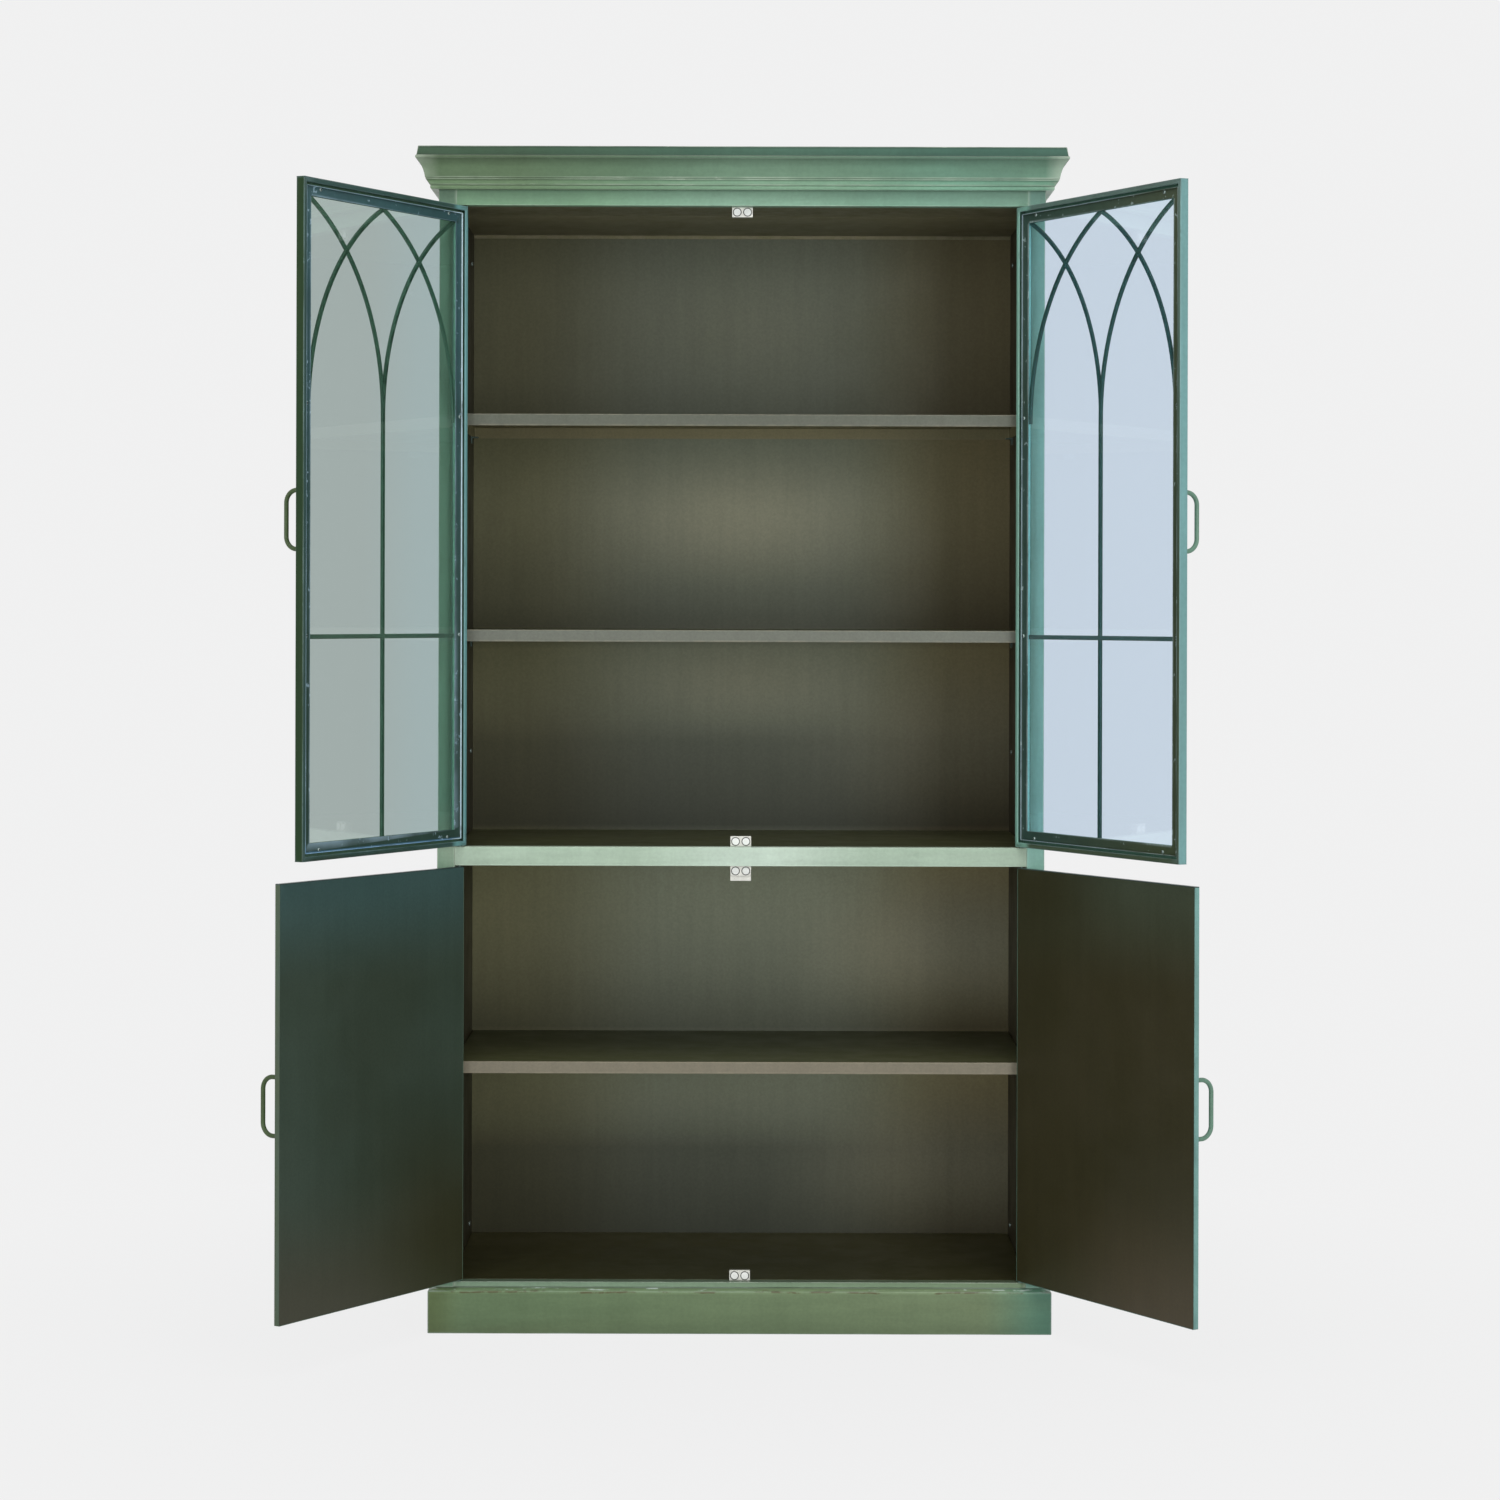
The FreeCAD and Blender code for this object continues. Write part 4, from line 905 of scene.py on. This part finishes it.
def make_foot(across, way):
    """One leaf-shaped foot: a rounded tip, softer inner corners and an eased rim."""
    foot = bmesh.new()
    inner, outer = HALF_CENTRES - WIRE, HALF_CENTRES + FOOT_PAST
    middle = (inner + outer) / 2
    block(foot, (across, DOOR_FACE - FOOT_THICK / 2, way * middle),
          (2 * FOOT_HALF_WIDTH, FOOT_THICK, outer - inner))
    corners = [edge for edge in foot.edges
               if abs(edge.verts[0].co.y - edge.verts[1].co.y) > FOOT_THICK / 2]
    tips = [edge for edge in corners if all(abs(vert.co.z) > middle for vert in edge.verts)]
    roots = [edge for edge in corners if edge not in tips]
    ease(foot, tips, TIP_ROUND, 8)
    ease(foot, roots, ROOT_ROUND, 5)
    rim = [edge for edge in bends(foot, RAW_TURN)
           if all(abs(vert.co.y - DOOR_FACE + FOOT_THICK) < 0.01 for vert in edge.verts)]
    ease(foot, rim, RIM_ROUND, 4)
    close_up(foot)
    return foot


def make_handle(node, name, angle, inset, level):
    """A round wire bow with a weld collar at each end, on two leaf-shaped feet."""
    side = SIDES[name]
    across = -side * (DOOR_WIDTH - PIVOT_IN - inset)
    bm = bmesh.new()
    knee = DOOR_FACE - HANDLE_REACH + HANDLE_BEND
    base = DOOR_FACE - WIRE_START
    start = Matrix.Translation((across, base, HALF_CENTRES)) @ QUARTER
    end = run_on(bm, ring(bm, start, WIRE), (0, knee - base, 0))
    end = bend_on(bm, end, (across, knee, HALF_CENTRES - HANDLE_BEND), (1, 0, 0), 90,
                  BEND_STEPS)
    end = run_on(bm, end, (0, 0, 2 * (HANDLE_BEND - HALF_CENTRES)))
    end = bend_on(bm, end, (across, knee, HANDLE_BEND - HALF_CENTRES), (1, 0, 0), 90,
                  BEND_STEPS)
    run_on(bm, end, (0, base - knee, 0))
    close_up(bm)
    for way in (-1, 1):
        collar = bmesh.new()
        start = Matrix.Translation((across, base, way * HALF_CENTRES)) @ QUARTER
        edges = ring(collar, start, COLLAR, COLLAR_SIDES)
        for out, narrower in COLLAR_STEPS:
            edges = run_on(collar, edges, (0, -out, 0), (narrower, 1, narrower))
        close_up(collar)
        join(bm, collar)
        join(bm, make_foot(across, way))
    bmesh.ops.translate(bm, vec=(0, 0, level), verts=bm.verts)
    hang(bm, side, angle)
    finish_piece(bm, "wire_" + node, node, finishes[node])


# The share of its height that each step of a screw head rises, and to what share it narrows
HEAD_STEPS = ((0.35, 1.0), (0.3, 0.93), (0.2, 0.88), (0.15, 0.86), (0.0, 0.8))
RECESS_DEPTH, RECESS_TAPER = 0.55, 0.9


def make_screws(node, spots, radius, height, turned=None):
    """Low round heads with a round recess painted dark for its shade, on the carcass or on a
    door.
    """
    bm = bmesh.new()
    for place in spots:
        head = bmesh.new()
        edges = ring(head, place, radius, HEAD_SIDES)
        out = (place.to_3x3() @ Vector((0, 0, 1))).normalized()
        for up, narrower in HEAD_STEPS:
            edges = run_on(head, edges, out * up * height, (narrower,) * 3)
        outside = set(head.faces)
        run_on(head, edges, out * -RECESS_DEPTH * height, (RECESS_TAPER,) * 3)
        close_up(head)
        for face in set(head.faces) - outside:
            face.material_index = 1
        join(bm, head)
    if turned:
        hang(bm, *turned)
    else:
        bmesh.ops.scale(bm, vec=(MM, MM, MM), verts=bm.verts)
    piece = finish_piece(bm, "headed_" + node, node, finishes[node])
    piece.data.materials.append(dark_recess)


FLOOR, CEILING = 85.5, 1903.5
LINER_FACE = 489.0
LINER_SCREW_PLACES = (54.0, 421.6)
LINER_SCREW_SHARES = (0.014, 0.484, 0.968)
LINER_SCREW_RADIUS, SCREW_HEIGHT = 4.0, 2.0
make_screws("liner_screws",
            [Matrix.Translation((side * LINER_FACE, place, FLOOR + share * (CEILING - FLOOR)))
             @ Matrix.Rotation(math.radians(-side * 90), 4, "Y")
             for side in SIDES.values() for place in LINER_SCREW_PLACES
             for share in LINER_SCREW_SHARES], LINER_SCREW_RADIUS, SCREW_HEIGHT)

BEAD_SCREW_LINE = 16.4
BEAD_SCREW_RADIUS = 2.9
BEAD_TOP = 5.2
# Where the screws lie along the door's height and width
UP_SHARES, ACROSS_SHARES = (0.33, 0.67), (0.108, 0.89)
UPPER_LOW, UPPER_HIGH = 822.0, 1901.5
DOOR_START = -PIVOT_IN
DOOR_END = DOOR_START + DOOR_WIDTH
SCREW_SPOTS = [(x, UPPER_LOW + share * (UPPER_HIGH - UPPER_LOW))
               for x in (DOOR_START + BEAD_SCREW_LINE, DOOR_END - BEAD_SCREW_LINE)
               for share in UP_SHARES]
SCREW_SPOTS += [(DOOR_START + share * DOOR_WIDTH, z)
                for z in (UPPER_LOW + BEAD_SCREW_LINE, UPPER_HIGH - BEAD_SCREW_LINE)
                for share in ACROSS_SHARES]
for name, side in SIDES.items():
    make_screws(f"bead_screws_{name}",
                [Matrix.Translation((-side * x, BEAD_TOP, z)) @ QUARTER.inverted()
                 for x, z in SCREW_SPOTS],
                BEAD_SCREW_RADIUS, SCREW_HEIGHT, (side, UPPER_ANGLE))
    make_tracery(name)
    make_handle(f"upper_handle_{name}", name, UPPER_ANGLE, *UPPER_HANDLE)
    make_handle(f"lower_handle_{name}", name, LOWER_ANGLES[name], *LOWER_HANDLE)


CEILING_SEAM = 169.0
SEAM_HALF_WIDTH = 0.6
SEAM_DEPTH = 0.8
LIP_HEIGHT = 6.0
LIP_THICK = 1.2
LIP_ROUND = 0.4


def make_ceiling():
    """The ceiling sheet with the seam behind the frieze and its lip against the back."""
    bm = merged_copy("ceiling_panel")
    low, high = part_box("ceiling_panel")
    for place in (CEILING_SEAM - SEAM_HALF_WIDTH, CEILING_SEAM + SEAM_HALF_WIDTH):
        cut(bm, (0, place * MM, 0), (0, 1, 0), near=TOUCHING)
    seam = [face for face in bm.faces if face.normal.z < -0.9
            and abs(face.calc_center_median().y - CEILING_SEAM * MM) < 0.5 * MM]
    dent = bmesh.ops.extrude_discrete_faces(bm, faces=seam)["faces"]
    bmesh.ops.translate(bm, vec=(0, 0, SEAM_DEPTH * MM),
                        verts=list({vert for face in dent for vert in face.verts}))
    lip = bmesh.new()
    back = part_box("back_panel")[0].y
    width = min(2 * LINER_FACE * MM, high.x - low.x)
    block(lip, (0, back - LIP_THICK / 2 * MM, low.z - LIP_HEIGHT / 2 * MM),
          (width, LIP_THICK * MM, LIP_HEIGHT * MM))
    ease(lip, [edge for edge in lip.edges
               if all(vert.co.z < low.z - LIP_HEIGHT / 2 * MM for vert in edge.verts)],
         LIP_ROUND * MM, 3)
    join(bm, lip)
    mark_wear(bm)
    finish_piece(bm, "seamed_ceiling_panel", "ceiling_panel", ceiling_bronze)


make_ceiling()


# The height of each catch and where its front face lies
CATCHES = ((1894.75, 16.0), (828.75, 16.0), (779.25, 10.5), (94.25, 10.5))
MAGNET_OUT = 8.75
MAGNET_DEPTH = 4.0
RING_RADIUS = 7.4
DISC_REACH = 6.2
# How far each step of a magnet comes forward, and to what share it narrows
MAGNET_STEPS = ((3.25, 1.0), (0.0, 0.81), (0.55, 1.0), (0.2, 0.95), (-0.25, 0.3))


def make_magnets():
    """White discs that stand proud of the catches, each in a dark ring."""
    bm = bmesh.new()
    for level, face in CATCHES:
        for side in SIDES.values():
            start = Matrix.Translation((side * MAGNET_OUT, face + MAGNET_DEPTH, level))
            edges = ring(bm, start @ QUARTER, RING_RADIUS, MAGNET_SIDES)
            for out, narrower in MAGNET_STEPS:
                edges = run_on(bm, edges, (0, -out, 0), (narrower, 1, narrower))
    close_up(bm)
    bmesh.ops.scale(bm, vec=(MM, MM, MM), verts=bm.verts)
    for face in bm.faces:
        centre = face.calc_center_median()
        out = min(math.hypot(abs(centre.x) - MAGNET_OUT * MM, centre.z - level * MM)
                  for level, _ in CATCHES)
        face.material_index = 1 if out > DISC_REACH * MM else 0
    piece = finish_piece(bm, "ringed_catch_magnets", "catch_magnets", ferrite)
    piece.data.materials.append(rubber)


make_magnets()


# Camera, lights, floor and surroundings

PICTURE_PX = 1500.0
FOCAL_PX = 3562.0
SHIFT_PX = (8.65, -137.5)
CAMERA_PLACE = (0.0, -6.017, 1.2166)
CAMERA_ROLL = -0.0027
CAMERA_REACH = 80.0
camera_data = bpy.data.cameras.new("camera")
camera_data.sensor_width = 36.0
camera_data.lens = camera_data.sensor_width * FOCAL_PX / PICTURE_PX
camera_data.shift_x, camera_data.shift_y = (pixels / PICTURE_PX for pixels in SHIFT_PX)
camera_data.clip_end = CAMERA_REACH
camera = put_in("camera", camera_data)
camera.location = CAMERA_PLACE
camera.rotation_mode = "XYZ"
camera.rotation_euler = (math.radians(90), CAMERA_ROLL, 0.0)
bpy.context.scene.camera = camera


def soft_light(name, place, aim, size, power, tint=(1.0, 1.0, 1.0)):
    """A large rectangular lamp that faces a point and isn't seen through the panes."""
    lamp = bpy.data.lights.new(name, "AREA")
    lamp.shape = "RECTANGLE"
    lamp.size, lamp.size_y = size
    lamp.energy = power
    lamp.color = tint
    holder = put_in(name, lamp)
    holder.location = place
    towards = Vector(aim) - Vector(place)
    holder.rotation_euler = towards.to_track_quat("-Z", "Y").to_euler()
    holder.visible_transmission = False


soft_light("front_right_light", (2.4, -4.8, 1.7), (0.0, 0.0, 1.0), (2.2, 2.2), 95)
soft_light("front_left_light", (-3.0, -4.4, 1.5), (0.0, 0.0, 1.0), (2.6, 2.6), 60,
           (0.95, 0.98, 1.0))
soft_light("top_light", (0.0, -1.6, 4.2), (0.0, 0.0, 1.2), (3.0, 2.0), 55)


def backdrop_share(tree):
    """Return one for rays that see the surroundings, none for rays that light with them."""
    path = tree.nodes.new("ShaderNodeLightPath")
    total = path.outputs["Is Camera Ray"]
    for kind in ("Is Glossy Ray", "Is Transmission Ray"):
        larger = tree.nodes.new("ShaderNodeMath")
        larger.operation = "MAXIMUM"
        tree.links.new(total, larger.inputs[0])
        tree.links.new(path.outputs[kind], larger.inputs[1])
        total = larger.outputs[0]
    return total


def mixed(tree, share, under, over):
    """Lay one shader over a share of another."""
    mix = tree.nodes.new("ShaderNodeMixShader")
    for socket, value in zip(mix.inputs, (share, under, over)):
        tree.links.new(value, socket)
    return mix.outputs[0]


WHITE_LEVEL = 0.875
SURROUNDING = (WHITE_LEVEL, WHITE_LEVEL, WHITE_LEVEL * 1.002, 1.0)
AMBIENT_LEVEL = 0.42
world = bpy.data.worlds.new("studio")
bpy.context.scene.world = world
world.use_nodes = True
tree = world.node_tree
seen = tree.nodes["Background"]
seen.inputs["Color"].default_value = SURROUNDING
seen.inputs["Strength"].default_value = 1.0
dim = tree.nodes.new("ShaderNodeBackground")
dim.inputs["Color"].default_value = (1.0, 1.0, 1.0, 1.0)
dim.inputs["Strength"].default_value = AMBIENT_LEVEL
tree.links.new(mixed(tree, backdrop_share(tree), dim.outputs[0], seen.outputs[0]),
               tree.nodes["World Output"].inputs["Surface"])


FLOOR_SIZE = 30.0
FLOOR_TONE = (0.82, 0.82, 0.82, 1.0)
# How far from the middle the shadow starts to fade and is gone, and how much of it shows
SHADOW_SPAN = (0.5, 1.8)
SHADOW_SHARE = 0.06


def pale_floor():
    """A pale floor that keeps a soft shadow near the cupboard and fades into the backdrop."""
    bm = bmesh.new()
    bmesh.ops.create_grid(bm, x_segments=1, y_segments=1, size=FLOOR_SIZE)
    mesh = bpy.data.meshes.new("studio_floor")
    bm.to_mesh(mesh)
    bm.free()
    floor = put_in("studio_floor", mesh)
    r = Recipe("studio_floor")
    tree = r.tree
    tree.nodes.remove(r.shader)
    away = r.add("ShaderNodeVectorMath", {"operation": "LENGTH"})
    r.feed(away.inputs[0], r.place)
    near = r.ramp(away.outputs["Value"], *SHADOW_SPAN, SHADOW_SHARE, 0.0)
    glow = r.add("ShaderNodeEmission", None, Color=SURROUNDING)
    matt = r.add("ShaderNodeBsdfDiffuse", None, Color=FLOOR_TONE)
    shown = mixed(tree, near, glow.outputs[0], matt.outputs[0])
    whole = mixed(tree, backdrop_share(tree), matt.outputs[0], shown)
    r.feed(tree.nodes["Material Output"].inputs["Surface"], whole)
    mesh.materials.append(r.material)


pale_floor()
bpy.context.scene.view_settings.view_transform = "Standard"
